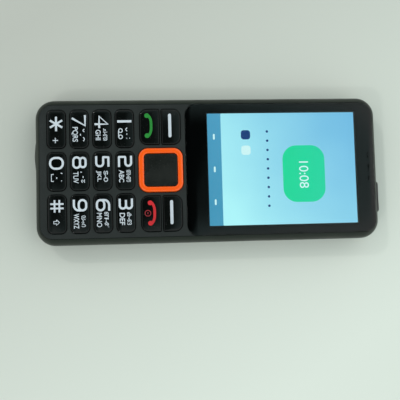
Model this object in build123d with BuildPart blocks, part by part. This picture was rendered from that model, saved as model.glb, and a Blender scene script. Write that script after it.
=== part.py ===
from build123d import *
from math import cos, radians, sin, sqrt

# A bar feature phone lying on its back: +X its right side, +Y its top end, +Z out of the display.
# Lengths are in millimetres. The origin is on the rest face, under the middle of the body.

# Clearances and overruns
seam = 0.15  # between two shells, seen as a fine line
fit = 0.2  # round a key in its opening or a module in its seat
slip = 0.05  # a shaft in its bearing
overrun = 1.0  # by which a cut passes the face that it opens

# What is small, inside or repeated has few faces: its rounded corners go in steps, its rounds have few sides
key_corner_steps = 3
face_corner_steps = 5
inner_corner_steps = 3
flange_corner_steps = 2
slot_corner_steps = 2
few_sides = 8
dome_sides = 6
slot_round_share = 0.9

# Keys
key_width = 14.5
key_height = 6.85
key_gap_across = 1.5
key_gap_along = 1.65
key_corner = 2.1
key_edge = 0.3
key_proud = 0.5
key_travel = 0.3
flange_lip = 0.4
flange_thickness = 0.5
flange_gap = 0.2
plunger_radius = 1.5

# Function keys, in a pair on each side of the navigation ring
soft_key_height = 7.05
call_key_height = 7.3
pair_gap = 0.95
pair_corner = 2.8
pair_inner_corner = 0.5
number_to_cluster_gap = 1.65

# Navigation ring, its rocker pad and the OK key
nav_width = 16.7
nav_height = 16.75
nav_corner = 3.6
nav_band = 2.0
nav_inner_corner = 1.6
nav_edge = 0.55
nav_proud = 0.8
nav_gap = 1.45
nav_rock_gap = 0.55
rocker_gap = 0.3
rocker_thickness = 0.25
rocker_inset = 0.75
rocker_band = 2.2
rocker_corner = 2.4

# Display and lens
active_width = 43.2
active_length = 57.6
display_side_border = 2.4
display_low_border = 6.8
display_high_border = 2.5
display_thickness = 2.4
display_gap = 0.1
display_frame_wall = 0.3
display_frame_lip = 0.2
glass_thickness = 1.0
print_margin = 0.3
film_thickness = 0.1
lens_thickness = 1.0
lens_foot = 1.9
lens_head = 4.7
lens_low_corner = 4.5
lens_ledge = 1.2
flex_width = 14.0
flex_thickness = 0.15
flex_reach = 1.0

# Earpiece
earpiece_width = 9.0
earpiece_length = 3.0
earpiece_height = 1.6
sound_slot_width = 11.0
sound_slot_length = 2.2
sound_hole_length = 1.7
sound_hole_width = 0.5
sound_hole_pitch = 4.5
mesh_thickness = 0.15

# Face, rim and housings
keypad_side_margin = 2.15
keypad_low_margin = 3.1
lens_gap = 1.1
plate_thickness = 1.2
plate_ledge = 1.0
rim_side = 2.3
rim_end = 1.725
rim_radius = 5.0
rim_drop = 0.1
body_corner = 7.2
deck_thickness = 0.8
housing_wall = 1.4
cover_wall = 1.2
cover_below_jack = 0.4
cover_radius = 3.2
rear_band_height = 2.7
core_wall = 1.2
core_edge = 1.8
rear_skin = 0.8
core_gap = 0.3

# Battery and its bay
battery_width = 42.0
battery_length = 54.0
battery_thickness = 5.2
battery_corner = 1.0
battery_from_end = 36.1
battery_fit = 0.3
battery_play = 0.2
bay_wall = 1.0
bay_floor = 0.8
contact_block_width = 9.0
contact_block_length = 3.4
contact_block_height = 4.6
contact_blade_width = 1.4
contact_blade_height = 1.2
contact_blade_pitch = 2.8
contact_blade_gap = 0.1

# Main board and what it carries
component_space = 1.2
board_thickness = 0.8
board_inset = 1.9
sheet_thickness = 0.15
dome_height = 0.2
dome_radius = 2.0
mat_thickness = 0.5
mat_clear = 0.1
mat_rib = 0.8
mat_inset = 2.0
shield_height = 1.0
shield_width = 18.0
shield_length = 22.0
sim_width = 17.0
sim_length = 16.0
sim_height = 1.4
sim_margin = 4.0
card_socket_length = 14.0
socket_gap = 3.0
part_gap = 1.6
socket_window_gap = 0.4

# Ends of the phone: sockets, torch, microphone, swell
jack_across = -14.0
jack_bore_radius = 1.8
jack_bore_length = 12.0
jack_collar_wall = 0.5
jack_body_width = 6.4
jack_body_height = 5.0
jack_back = 1.0
usb_across = -6.2
usb_width = 7.6
usb_height = 2.6
usb_length = 5.8
usb_wall = 0.3
usb_cavity = 5.0
usb_chamfer = 0.6
usb_recess = 0.2
usb_tongue_width = 5.0
usb_tongue_thickness = 0.6
usb_tongue_length = 3.8
torch_across = 11.6
torch_width = 12.0
torch_height = 4.6
torch_proud = 0.78
torch_corner = 1.2
torch_edge = 0.65
torch_depth = 1.7
end_gap = 0.1
torch_lamp_width = 2.0
torch_lamp_length = 1.6
torch_lamp_height = 2.2
torch_lamp_pitch = 5.0
torch_lamp_back = 0.4
swell_width = 10.8
swell_proud = 0.46
swell_root = 0.5
swell_faded = 0.06
swell_fade_height = 2.4
swell_fade_steps = 3
mic_across = 8.0
mic_width = 3.0
mic_length = 2.0
mic_height = 1.0
mic_from_end = 4.4
mic_hole_radius = 0.5

# Rear parts
speaker_width = 24.0
speaker_length = 14.0
speaker_thickness = 3.5
speaker_from_end = 19.2
speaker_window_share = 0.6
speaker_slot_length = 7.0
speaker_slot_width = 1.0
speaker_slot_pitch = 2.4
speaker_slot_count = 5
motor_from_speaker = 5.3
motor_radius = 2.1
motor_length = 8.0
motor_shaft_radius = 0.4
motor_shaft_hold = 3.0
weight_radius = 2.0
weight_length = 3.2
weight_gap = 0.4
motor_gap = 0.2
camera_width = 7.0
camera_barrel_radius = 2.4
camera_base_height = 4.0
camera_barrel_length = 1.9
camera_window_radius = 3.4
camera_window_thickness = 0.8
camera_collar_wall = 0.8
camera_recess = 0.5
camera_sight_radius = 2.6
head_shield_width = 24.0
head_shield_length = 15.0
head_shield_height = 1.4
antenna_width = 30.0
antenna_length = 6.0
antenna_thickness = 0.2
notch_width = 12.0
notch_depth = 0.7
notch_height = 1.2
tab_length = 8.0
tab_thickness = 0.55
tab_rise = 1.2
tab_root = 0.6
tab_pitch = 38.0

# Screws
screw_from_side = 3.7
screw_radius = 0.65
screw_head_radius = 1.15
screw_head_height = 0.8
screw_sink = 2.4
screw_bite = 1.7
boss_radius = 1.3
post_radius = 1.9
head_screw_from_side = 5.4
head_screw_from_end = 4.65
middle_screw_below_display = 1.6

# Plan of the face, from its sizes
column_pitch = key_width + key_gap_across
row_pitch = key_height + key_gap_along
keypad_width = 3 * key_width + 2 * key_gap_across
display_width = active_width + 2 * display_side_border
display_length = display_low_border + active_length + display_high_border
face_width = max(
    keypad_width + 2 * keypad_side_margin,
    display_width + 2 * (lens_ledge + fit),
    battery_width + 2 * (battery_fit + post_radius + screw_from_side - rim_side),
)
pair_height = call_key_height + pair_gap + soft_key_height
cluster_height = max(nav_height, pair_height)
lens_length = lens_foot + display_length + lens_head
number_block_length = 4 * key_height + 3 * key_gap_along
keypad_length = keypad_low_margin + number_block_length + number_to_cluster_gap + cluster_height + lens_gap
face_length = keypad_length + lens_length
face_corner = body_corner - rim_side
body_width = face_width + 2 * rim_side
body_length = face_length + 2 * rim_end
end_y = body_length / 2
face_low_y = -face_length / 2
first_row_y = face_low_y + keypad_low_margin + key_height / 2
cluster_low_y = face_low_y + keypad_low_margin + number_block_length + number_to_cluster_gap
nav_y = cluster_low_y + cluster_height / 2
pair_low_y = nav_y - pair_height / 2
lens_low_y = face_low_y + keypad_length
display_low_y = lens_low_y + lens_foot
display_high_y = display_low_y + display_length
display_y = (display_low_y + display_high_y) / 2
active_y = display_low_y + display_low_border + active_length / 2
crossbar_low_y = cluster_low_y + cluster_height + flange_lip + fit
mat_high_y = crossbar_low_y - core_gap
function_key_width = (keypad_width - nav_width) / 2 - nav_gap
function_key_x = (keypad_width - function_key_width) / 2

# Heights, from the rest face up
core_low = cover_wall + core_gap
skin_top = core_low + rear_skin
battery_low = cover_wall + battery_play
battery_top = battery_low + battery_thickness
bay_top = battery_top + battery_play
bay_floor_top = bay_top + bay_floor
board_low = bay_floor_top + component_space
board_top = board_low + board_thickness
sheet_top = board_top + sheet_thickness
dome_top = sheet_top + dome_height
display_top = board_top + display_thickness
ledge_top = display_top + display_gap
lens_low = ledge_top + film_thickness
face_top = lens_low + lens_thickness
plate_low = face_top - plate_thickness
deck_low = ledge_top - deck_thickness
flange_top = plate_low - flange_gap
flange_low = flange_top - flange_thickness
key_top = face_top + key_proud
mat_top = flange_low - key_travel - mat_clear
mat_low = mat_top - mat_thickness
plunger_low = dome_top + key_travel + mat_clear
nav_flange_top = plate_low - nav_rock_gap
nav_flange_low = nav_flange_top - flange_thickness
nav_top = face_top + nav_proud
rocker_top = nav_flange_low - rocker_gap
rocker_low = rocker_top - rocker_thickness
jack_z = board_low - jack_body_height / 2
cover_height = jack_z - jack_bore_radius - jack_collar_wall - cover_below_jack
band_low = cover_height + seam
band_top = band_low + rear_band_height
parting = band_top + seam
rim_top = face_top - rim_drop
rim_low = rim_top - sqrt(rim_radius**2 - (rim_radius - rim_side) ** 2)
rim_crown = rim_low + rim_radius
screw_seat = core_low + screw_sink
mic_hole_z = (band_low + band_top) / 2

# Plan of the inside, from its sizes
core_inset = max(cover_wall + fit, housing_wall + fit)
battery_y = battery_from_end + battery_length / 2 - end_y
bay_width = battery_width + 2 * battery_fit
bay_length = battery_length + 2 * battery_fit
battery_low_y = battery_y - battery_length / 2
bay_low_y = battery_y - bay_length / 2
bay_high_y = battery_y + bay_length / 2
contact_block_y = bay_low_y - bay_wall - fit - contact_block_length / 2
contact_z = battery_top - contact_blade_height
speaker_y = speaker_from_end - end_y
head_shield_y = bay_high_y + bay_wall + part_gap + head_shield_length / 2
camera_y = head_shield_y + head_shield_length / 2 + part_gap + camera_width / 2
antenna_y = speaker_y - speaker_length / 2 - part_gap - antenna_length / 2
motor_across = speaker_width / 2 + motor_from_speaker + motor_radius
usb_z = board_low - usb_height / 2
torch_z = (band_low + deck_low) / 2
motor_z = board_low - motor_gap - motor_radius
earpiece_y = display_high_y + (lens_head - fit) / 2
screw_across = body_width / 2 - screw_from_side
head_screw_x = body_width / 2 - head_screw_from_side
head_screw_y = end_y - head_screw_from_end
middle_screw_y = display_low_y - middle_screw_below_display
foot_screw_y = first_row_y + row_pitch / 2
screw_places = [
    (side * x, y)
    for side in (-1, 1)
    for x, y in ((screw_across, foot_screw_y), (screw_across, middle_screw_y), (head_screw_x, head_screw_y))
]
sim_across = (sim_width + socket_gap) / 2
sim_y = battery_low_y + sim_margin + sim_length / 2
sim_places = [(-sim_across, sim_y), (sim_across, sim_y)]
card_place = (-sim_across, sim_y + sim_length / 2 + socket_gap + card_socket_length / 2)
shield_place = (sim_across, sim_y + sim_length / 2 + socket_gap + shield_length / 2)
tab_places = [(0, battery_y - tab_pitch), (0, battery_y), (0, battery_y + tab_pitch)]

# The keys by rows, from the foot of the phone up
number_rows = [
    ("key_star", "key_0", "key_hash"),
    ("key_7", "key_8", "key_9"),
    ("key_4", "key_5", "key_6"),
    ("key_1", "key_2", "key_3"),
]
number_places = {
    label: ((column - 1) * column_pitch, first_row_y + row * row_pitch)
    for row, labels in enumerate(number_rows)
    for column, label in enumerate(labels)
}
call_y = pair_low_y + call_key_height / 2
soft_y = pair_low_y + pair_height - soft_key_height / 2
function_places = {
    "call_key": (-function_key_x, call_y),
    "end_key": (function_key_x, call_y),
    "soft_key_left": (-function_key_x, soft_y),
    "soft_key_right": (function_key_x, soft_y),
}
nav_reach_share = 0.8
nav_dome_places = [
    (nav_reach_share * nav_width / 2, nav_y),
    (-nav_reach_share * nav_width / 2, nav_y),
    (0, nav_y + nav_reach_share * nav_height / 2),
    (0, nav_y - nav_reach_share * nav_height / 2),
]
dome_places = [*number_places.values(), *function_places.values(), *nav_dome_places, (0, nav_y)]


def finish(builder, label):
    """Names a finished piece and writes it."""
    builder.part.label = label
    export_step(builder.part, f"parts/{label}.step")


def stepped_rectangle(width, height, steps, low_corner, high_corner=None, mode=Mode.ADD):
    """A rectangle whose corners are rounded in a few straight steps, with its own radius at each end."""
    corners = {1: high_corner or low_corner, -1: low_corner}
    points = []
    for quarter, (side_x, side_y) in enumerate(((1, 1), (-1, 1), (-1, -1), (1, -1))):
        corner = corners[side_y]
        for step in range(steps + 1):
            angle = radians(90 * (quarter + step / steps))
            x = side_x * (width / 2 - corner) + corner * cos(angle)
            y = side_y * (height / 2 - corner) + corner * sin(angle)
            points.append((x, y))
    Polygon(*points, mode=mode)


def stepped_slot(length, width, mode=Mode.ADD):
    """A slot along X whose ends are rounded in steps."""
    stepped_rectangle(length, width, slot_corner_steps, slot_round_share * width / 2, mode=mode)


def body_outline(inset):
    """The footprint of the body, drawn in all round by inset."""
    RectangleRounded(body_width - 2 * inset, body_length - 2 * inset, body_corner - inset)


def inner_outline(inset):
    """The same footprint for what the body hides, with stepped corners."""
    width = body_width - 2 * inset
    length = body_length - 2 * inset
    stepped_rectangle(width, length, inner_corner_steps, body_corner - inset)


def face_outline(inset):
    """The recess in the front housing that the plate and the lens share, drawn in by inset."""
    width = face_width - 2 * inset
    length = face_length - 2 * inset
    stepped_rectangle(width, length, face_corner_steps, face_corner - inset)


def lens_outline(inset):
    """The lens's part of that recess, drawn in by inset, with its lower corners rounded."""
    width = face_width - 2 * inset
    length = lens_length - 2 * inset
    with BuildSketch(mode=Mode.PRIVATE) as outline:
        with Locations((0, lens_low_y + lens_length / 2)):
            stepped_rectangle(
                width, length, face_corner_steps, lens_low_corner - inset, face_corner - inset
            )
    return outline.sketch


def number_key_outline(place, grow, steps=key_corner_steps):
    """A number key in its place, grown all round."""
    width = key_width + 2 * grow
    height = key_height + 2 * grow
    with BuildSketch(mode=Mode.PRIVATE) as outline:
        with Locations(place):
            stepped_rectangle(width, height, steps, key_corner + grow)
    return outline.sketch


def function_key_outline(label, grow, steps=key_corner_steps):
    """A soft, call or end key in its place, grown all round, tighter at the corners that meet its pair."""
    upper = label.startswith("soft")
    height = soft_key_height if upper else call_key_height
    outer = pair_corner + grow
    inner = pair_inner_corner + grow
    low_corner, high_corner = (inner, outer) if upper else (outer, inner)
    with BuildSketch(mode=Mode.PRIVATE) as outline:
        with Locations(function_places[label]):
            stepped_rectangle(
                function_key_width + 2 * grow, height + 2 * grow, steps, low_corner, high_corner
            )
    return outline.sketch


def nav_outline(grow):
    """The outside of the navigation ring, grown all round."""
    width = nav_width + 2 * grow
    height = nav_height + 2 * grow
    with BuildSketch(mode=Mode.PRIVATE) as outline:
        with Locations((0, nav_y)):
            stepped_rectangle(width, height, face_corner_steps, nav_corner + grow)
    return outline.sketch


def nav_opening_outline(grow):
    """The opening of the navigation ring, grown all round."""
    width = nav_width - 2 * nav_band + 2 * grow
    height = nav_height - 2 * nav_band + 2 * grow
    with BuildSketch(mode=Mode.PRIVATE) as outline:
        with Locations((0, nav_y)):
            stepped_rectangle(width, height, key_corner_steps, nav_inner_corner + grow)
    return outline.sketch


def swell_outline(proud, rim_draw=0):
    """The swell on the bottom end: an arch that stands proud of the end, on a root inside the wall.

    rim_draw is how far the round of the rim has drawn the end in at this height.
    """
    foot_y = rim_draw - end_y
    with BuildSketch(mode=Mode.PRIVATE) as outline:
        with BuildLine():
            Polyline(
                (usb_across - swell_width / 2, foot_y),
                (usb_across - swell_width / 2, foot_y + swell_root),
                (usb_across + swell_width / 2, foot_y + swell_root),
                (usb_across + swell_width / 2, foot_y),
            )
            ThreePointArc(
                (usb_across + swell_width / 2, foot_y),
                (usb_across, foot_y - proud),
                (usb_across - swell_width / 2, foot_y),
            )
        make_face()
    return outline.sketch


def swell_stage(step):
    """The swell's outline at one step of its fade into the rim, on a plane at that height."""
    share = step / swell_fade_steps
    height = share * swell_fade_height
    proud = swell_faded + (swell_proud - swell_faded) * cos(radians(90 * share))
    with BuildSketch(Plane.XY.offset(rim_low + height)) as stage:
        add(swell_outline(proud, rim_radius - sqrt(rim_radius**2 - height**2)))
    return stage.sketch


def cut_end_openings(depth):
    """Cuts the openings of both end walls, from outside the walls to this depth inside them."""
    with BuildSketch(Plane.XZ.offset(-end_y - overrun)) as top_end:
        with Locations((jack_across, jack_z)):
            Circle(jack_bore_radius + jack_collar_wall + end_gap)
        with Locations((torch_across, torch_z)):
            stepped_rectangle(
                torch_width + 2 * end_gap,
                torch_height + 2 * end_gap,
                key_corner_steps,
                torch_corner + end_gap,
            )
    extrude(to_extrude=top_end.sketch, amount=depth + overrun, mode=Mode.SUBTRACT)
    with BuildSketch(Plane.XZ.offset(end_y + overrun)) as bottom_end:
        with Locations((usb_across, usb_z)):
            Rectangle(usb_width + 2 * end_gap, usb_height + 2 * end_gap)
        with Locations((mic_across, mic_hole_z)):
            RegularPolygon(mic_hole_radius, few_sides)
    extrude(to_extrude=bottom_end.sketch, amount=-depth - overrun, mode=Mode.SUBTRACT)


# Front housing: the rounded rim, the deck that carries the lens and the plate, and the screw bosses
with BuildPart() as front_housing:
    with BuildSketch(Plane.XY.offset(parting)):
        body_outline(0)
    extrude(amount=rim_crown - parting)
    fillet(front_housing.faces().sort_by(Axis.Z)[-1].edges(), rim_radius)
    with BuildSketch(Plane.XY.offset(parting)):
        add(swell_outline(swell_proud))
    extrude(amount=rim_low - parting)
    for step in range(swell_fade_steps):
        loft(sections=[swell_stage(step).face(), swell_stage(step + 1).face()])
    with BuildSketch(Plane.XY.offset(parting)):
        inner_outline(housing_wall)
    extrude(amount=deck_low - parting, mode=Mode.SUBTRACT)
    with BuildSketch(Plane.XY.offset(ledge_top)):
        add(lens_outline(0))
    extrude(amount=rim_crown - ledge_top, mode=Mode.SUBTRACT)
    with BuildSketch(Plane.XY.offset(plate_low)):
        face_outline(0)
        add(lens_outline(0), mode=Mode.SUBTRACT)
    extrude(amount=rim_crown - plate_low, mode=Mode.SUBTRACT)
    with BuildSketch(Plane.XY.offset(deck_low)):
        with Locations((0, display_y)):
            Rectangle(display_width + 2 * fit, display_length + 2 * fit)
        with Locations((0, earpiece_y)):
            stepped_slot(sound_slot_width, sound_slot_length)
    extrude(amount=deck_thickness, mode=Mode.SUBTRACT)
    with BuildSketch(Plane.XY.offset(deck_low)):
        face_outline(plate_ledge)
        with Locations((0, crossbar_low_y + face_length / 2)):
            Rectangle(face_width, face_length, mode=Mode.SUBTRACT)
    extrude(amount=deck_thickness, mode=Mode.SUBTRACT)
    with BuildSketch(Plane.XY.offset(board_top)):
        with Locations(*screw_places):
            RegularPolygon(boss_radius, few_sides)
    extrude(amount=plate_low - board_top)
    with BuildSketch(Plane.XY.offset(board_top)):
        with Locations(*screw_places):
            RegularPolygon(screw_radius + slip, few_sides)
    extrude(amount=screw_bite, mode=Mode.SUBTRACT)
    cut_end_openings(housing_wall + overrun)
finish(front_housing, "front_housing")

# Keypad face plate, with an opening for each key
with BuildPart() as face_plate:
    with BuildSketch(Plane.XY.offset(plate_low)):
        face_outline(seam)
        add(lens_outline(0), mode=Mode.SUBTRACT)
        for place in number_places.values():
            add(number_key_outline(place, fit), mode=Mode.SUBTRACT)
        for label in function_places:
            add(function_key_outline(label, fit), mode=Mode.SUBTRACT)
        add(nav_outline(fit), mode=Mode.SUBTRACT)
    extrude(amount=plate_thickness)
finish(face_plate, "face_plate")

# Display lens, with three fine sound holes at its head
with BuildPart() as display_lens:
    with BuildSketch(Plane.XY.offset(lens_low)):
        add(lens_outline(seam))
        with Locations((0, earpiece_y)):
            with GridLocations(sound_hole_pitch, 0, 3, 1):
                stepped_slot(sound_hole_length, sound_hole_width, mode=Mode.SUBTRACT)
    extrude(amount=lens_thickness)
finish(display_lens, "display_lens")

# Printed border film behind the lens, open over the picture
with BuildPart() as lens_border:
    with BuildSketch(Plane.XY.offset(ledge_top)):
        add(lens_outline(seam))
        with Locations((0, active_y)):
            Rectangle(active_width + 2 * print_margin, active_length + 2 * print_margin, mode=Mode.SUBTRACT)
        with Locations((0, earpiece_y)):
            with GridLocations(sound_hole_pitch, 0, 3, 1):
                stepped_slot(sound_hole_length, sound_hole_width, mode=Mode.SUBTRACT)
    extrude(amount=film_thickness)
finish(lens_border, "lens_border")

# Steel frame of the display, open over the picture and underneath
with BuildPart() as lcd_frame:
    with BuildSketch(Plane.XY.offset(board_top)):
        with Locations((0, display_y)):
            Rectangle(display_width, display_length)
            Rectangle(
                display_width - 2 * display_frame_wall,
                display_length - 2 * display_frame_wall,
                mode=Mode.SUBTRACT,
            )
    extrude(amount=display_thickness - display_frame_lip)
    with BuildSketch(Plane.XY.offset(display_top - display_frame_lip)):
        with Locations((0, display_y)):
            Rectangle(display_width, display_length)
        with Locations((0, active_y)):
            Rectangle(active_width + 4 * print_margin, active_length + 4 * print_margin, mode=Mode.SUBTRACT)
    extrude(amount=display_frame_lip)
    with BuildSketch(Plane.XY.offset(board_top)):
        with Locations((0, display_low_y)):
            Rectangle(flex_width + 2 * fit, 4 * display_frame_wall)
    extrude(amount=display_thickness - display_frame_lip, mode=Mode.SUBTRACT)
finish(lcd_frame, "lcd_frame")

# The glass and the backlight fill the frame
inner_display_width = display_width - 2 * display_frame_wall - fit
inner_display_length = display_length - 2 * display_frame_wall - fit
glass_low = display_top - display_frame_lip - glass_thickness
with BuildPart() as lcd_glass:
    with BuildSketch(Plane.XY.offset(glass_low)):
        with Locations((0, display_y)):
            Rectangle(inner_display_width, inner_display_length)
    extrude(amount=glass_thickness)
finish(lcd_glass, "lcd_glass")

with BuildPart() as lcd_backlight:
    with BuildSketch(Plane.XY.offset(board_top)):
        with Locations((0, display_y)):
            Rectangle(inner_display_width, inner_display_length)
    extrude(amount=glass_low - board_top)
finish(lcd_backlight, "lcd_backlight")

# Display flex: out of the glass, round and back under it onto the board
flex_start_y = display_y - inner_display_length / 2
flex_top = glass_low + glass_thickness / 2
flex_edge_y = display_low_y - flex_reach
flex_end_y = mat_high_y + fit
with BuildPart() as lcd_flex:
    with BuildSketch(Plane.YZ.offset(-flex_width / 2)):
        with BuildLine():
            Polyline(
                (flex_start_y, flex_top),
                (flex_edge_y, flex_top),
                (flex_edge_y - flex_thickness, flex_top - flex_thickness),
                (flex_edge_y - flex_thickness, board_top + flex_thickness),
                (flex_end_y, board_top + flex_thickness),
                (flex_end_y, board_top),
                (flex_edge_y, board_top),
                (flex_edge_y, flex_top - flex_thickness),
                (flex_start_y, flex_top - flex_thickness),
                close=True,
            )
        make_face()
    extrude(amount=flex_width)
finish(lcd_flex, "lcd_flex")

# Earpiece on the board, and the mesh in the slot over it
with BuildPart() as earpiece:
    with BuildSketch(Plane.XY.offset(board_top)):
        with Locations((0, earpiece_y)):
            Rectangle(earpiece_width, earpiece_length)
    extrude(amount=earpiece_height)
    chamfer(earpiece.edges().filter_by(Axis.Z), earpiece_length / 5)
finish(earpiece, "earpiece")

with BuildPart() as earpiece_mesh:
    with BuildSketch(Plane.XY.offset(ledge_top - mesh_thickness)):
        with Locations((0, earpiece_y)):
            stepped_slot(sound_slot_width - fit, sound_slot_length - fit)
    extrude(amount=mesh_thickness)
finish(earpiece_mesh, "earpiece_mesh")


def make_key(label, outline, place):
    """A key: its flange under the plate, its cap through the plate, and its plunger over a dome."""
    with BuildPart() as key:
        with BuildSketch(Plane.XY.offset(flange_low)):
            add(outline(flange_lip, flange_corner_steps))
        extrude(amount=flange_thickness)
        with BuildSketch(Plane.XY.offset(flange_low)):
            add(outline(0, key_corner_steps))
        extrude(amount=key_top - flange_low)
        chamfer(key.faces().sort_by(Axis.Z)[-1].edges(), key_edge)
        with BuildSketch(Plane.XY.offset(plunger_low)):
            with Locations(place):
                RegularPolygon(plunger_radius, few_sides)
        extrude(amount=flange_low - plunger_low)
    finish(key, label)


for label, place in number_places.items():
    make_key(label, lambda grow, steps, place=place: number_key_outline(place, grow, steps), place)
for label, place in function_places.items():
    make_key(label, lambda grow, steps, label=label: function_key_outline(label, grow, steps), place)

# OK key, inside the navigation ring
with BuildPart() as ok_key:
    with BuildSketch(Plane.XY.offset(flange_low)):
        add(nav_opening_outline(-fit))
    extrude(amount=key_top - flange_low)
    chamfer(ok_key.faces().sort_by(Axis.Z)[-1].edges(), key_edge)
    with BuildSketch(Plane.XY.offset(plunger_low)):
        with Locations((0, nav_y)):
            RegularPolygon(plunger_radius, few_sides)
    extrude(amount=flange_low - plunger_low)
finish(ok_key, "ok_key")

# Navigation ring, sloped at both its upper edges
with BuildPart() as nav_ring:
    with BuildSketch(Plane.XY.offset(nav_flange_low)):
        add(nav_outline(flange_lip))
    extrude(amount=flange_thickness)
    with BuildSketch(Plane.XY.offset(nav_flange_low)):
        add(nav_outline(0))
    extrude(amount=nav_top - nav_flange_low)
    with BuildSketch(Plane.XY.offset(nav_flange_low)):
        add(nav_opening_outline(0))
    extrude(amount=nav_top - nav_flange_low, mode=Mode.SUBTRACT)
    chamfer(nav_ring.faces().sort_by(Axis.Z)[-1].edges(), nav_edge)
finish(nav_ring, "nav_ring")

# Rocker pad under the ring, over the four direction domes
with BuildPart() as nav_rocker_pad:
    with BuildSketch(Plane.XY.offset(rocker_low)):
        with Locations((0, nav_y)):
            stepped_rectangle(
                nav_width - 2 * rocker_inset, nav_height - 2 * rocker_inset, inner_corner_steps, rocker_corner
            )
            Rectangle(
                nav_width - 2 * rocker_inset - 2 * rocker_band,
                nav_height - 2 * rocker_inset - 2 * rocker_band,
                mode=Mode.SUBTRACT,
            )
    extrude(amount=rocker_thickness)
finish(nav_rocker_pad, "nav_rocker_pad")

# Keypad mat: a web with a hole for each plunger, standing on a rib round its edge
mat_half_width = screw_across - boss_radius - core_gap
mat_low_y = face_low_y + plate_ledge + mat_inset / 2
mat_length = mat_high_y - mat_low_y
mat_y = (mat_low_y + mat_high_y) / 2
mat_corner = key_corner
with BuildPart() as keypad_mat:
    with BuildSketch(Plane.XY.offset(mat_low)):
        with Locations((0, mat_y)):
            stepped_rectangle(2 * mat_half_width, mat_length, inner_corner_steps, mat_corner)
        with Locations(*number_places.values(), *function_places.values()):
            RegularPolygon(plunger_radius + 2 * fit, dome_sides, mode=Mode.SUBTRACT)
        with Locations((0, nav_y + nav_height)):
            Rectangle(
                nav_width + 2 * flange_lip + 4 * fit,
                3 * nav_height + 2 * flange_lip + 4 * fit,
                mode=Mode.SUBTRACT,
            )
    extrude(amount=mat_thickness)
    with BuildSketch(Plane.XY.offset(sheet_top)):
        with Locations((0, mat_y)):
            stepped_rectangle(2 * mat_half_width, mat_length, inner_corner_steps, mat_corner)
            stepped_rectangle(
                2 * (mat_half_width - mat_rib),
                mat_length - 2 * mat_rib,
                inner_corner_steps,
                mat_corner - mat_rib,
                mode=Mode.SUBTRACT,
            )
        with Locations((0, nav_y + nav_height)):
            Rectangle(
                nav_width + 2 * flange_lip + 4 * fit,
                3 * nav_height + 2 * flange_lip + 4 * fit,
                mode=Mode.SUBTRACT,
            )
    extrude(amount=mat_low - sheet_top)
finish(keypad_mat, "keypad_mat")

with BuildPart() as dome_sheet:
    with BuildSketch(Plane.XY.offset(board_top)):
        with Locations((0, mat_y)):
            stepped_rectangle(2 * mat_half_width, mat_length, inner_corner_steps, mat_corner)
    extrude(amount=sheet_thickness)
finish(dome_sheet, "dome_sheet")

# Metal domes, one under each key and four under the ring
with BuildPart() as metal_domes:
    with BuildSketch(Plane.XY.offset(sheet_top)):
        with Locations(*dome_places):
            RegularPolygon(dome_radius, dome_sides)
    extrude(amount=dome_height, taper=45)
finish(metal_domes, "metal_domes")

# Main board, with a hole for each screw
with BuildPart() as main_board:
    with BuildSketch(Plane.XY.offset(board_low)):
        inner_outline(board_inset)
        with Locations(*screw_places):
            RegularPolygon(screw_radius + fit, few_sides, mode=Mode.SUBTRACT)
    extrude(amount=board_thickness)
finish(main_board, "main_board")

# Shield cans: shallow lids with sloped tops, one over the bay and one at the head
with BuildPart() as shield_cans:
    with BuildSketch(Plane.XY.offset(board_low)):
        with Locations(shield_place):
            Rectangle(shield_width, shield_length)
    extrude(amount=-shield_height)
    with BuildSketch(Plane.XY.offset(board_low)):
        with Locations((0, head_shield_y)):
            Rectangle(head_shield_width, head_shield_length)
    extrude(amount=-head_shield_height)
    chamfer(shield_cans.faces().filter_by(Plane.XY).group_by(Axis.Z)[0].edges(), flange_gap)
finish(shield_cans, "shield_cans")


def make_card_sockets(label, places, width, length):
    """Card sockets under the board: each a lid open at the side that takes the card."""
    with BuildPart() as sockets:
        with BuildSketch(Plane.XY.offset(board_low)):
            with Locations(*places):
                Rectangle(width, length)
        extrude(amount=-sim_height)
        with BuildSketch(Plane.XY.offset(board_low - sim_height / 3)):
            with Locations(*places):
                with Locations((0, -sim_height)):
                    Rectangle(width - 2 * sim_height, length)
        extrude(amount=-sim_height / 3, mode=Mode.SUBTRACT)
    finish(sockets, label)


make_card_sockets("sim_sockets", sim_places, sim_width, sim_length)
make_card_sockets("memory_card_socket", [card_place], sim_width, card_socket_length)

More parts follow.
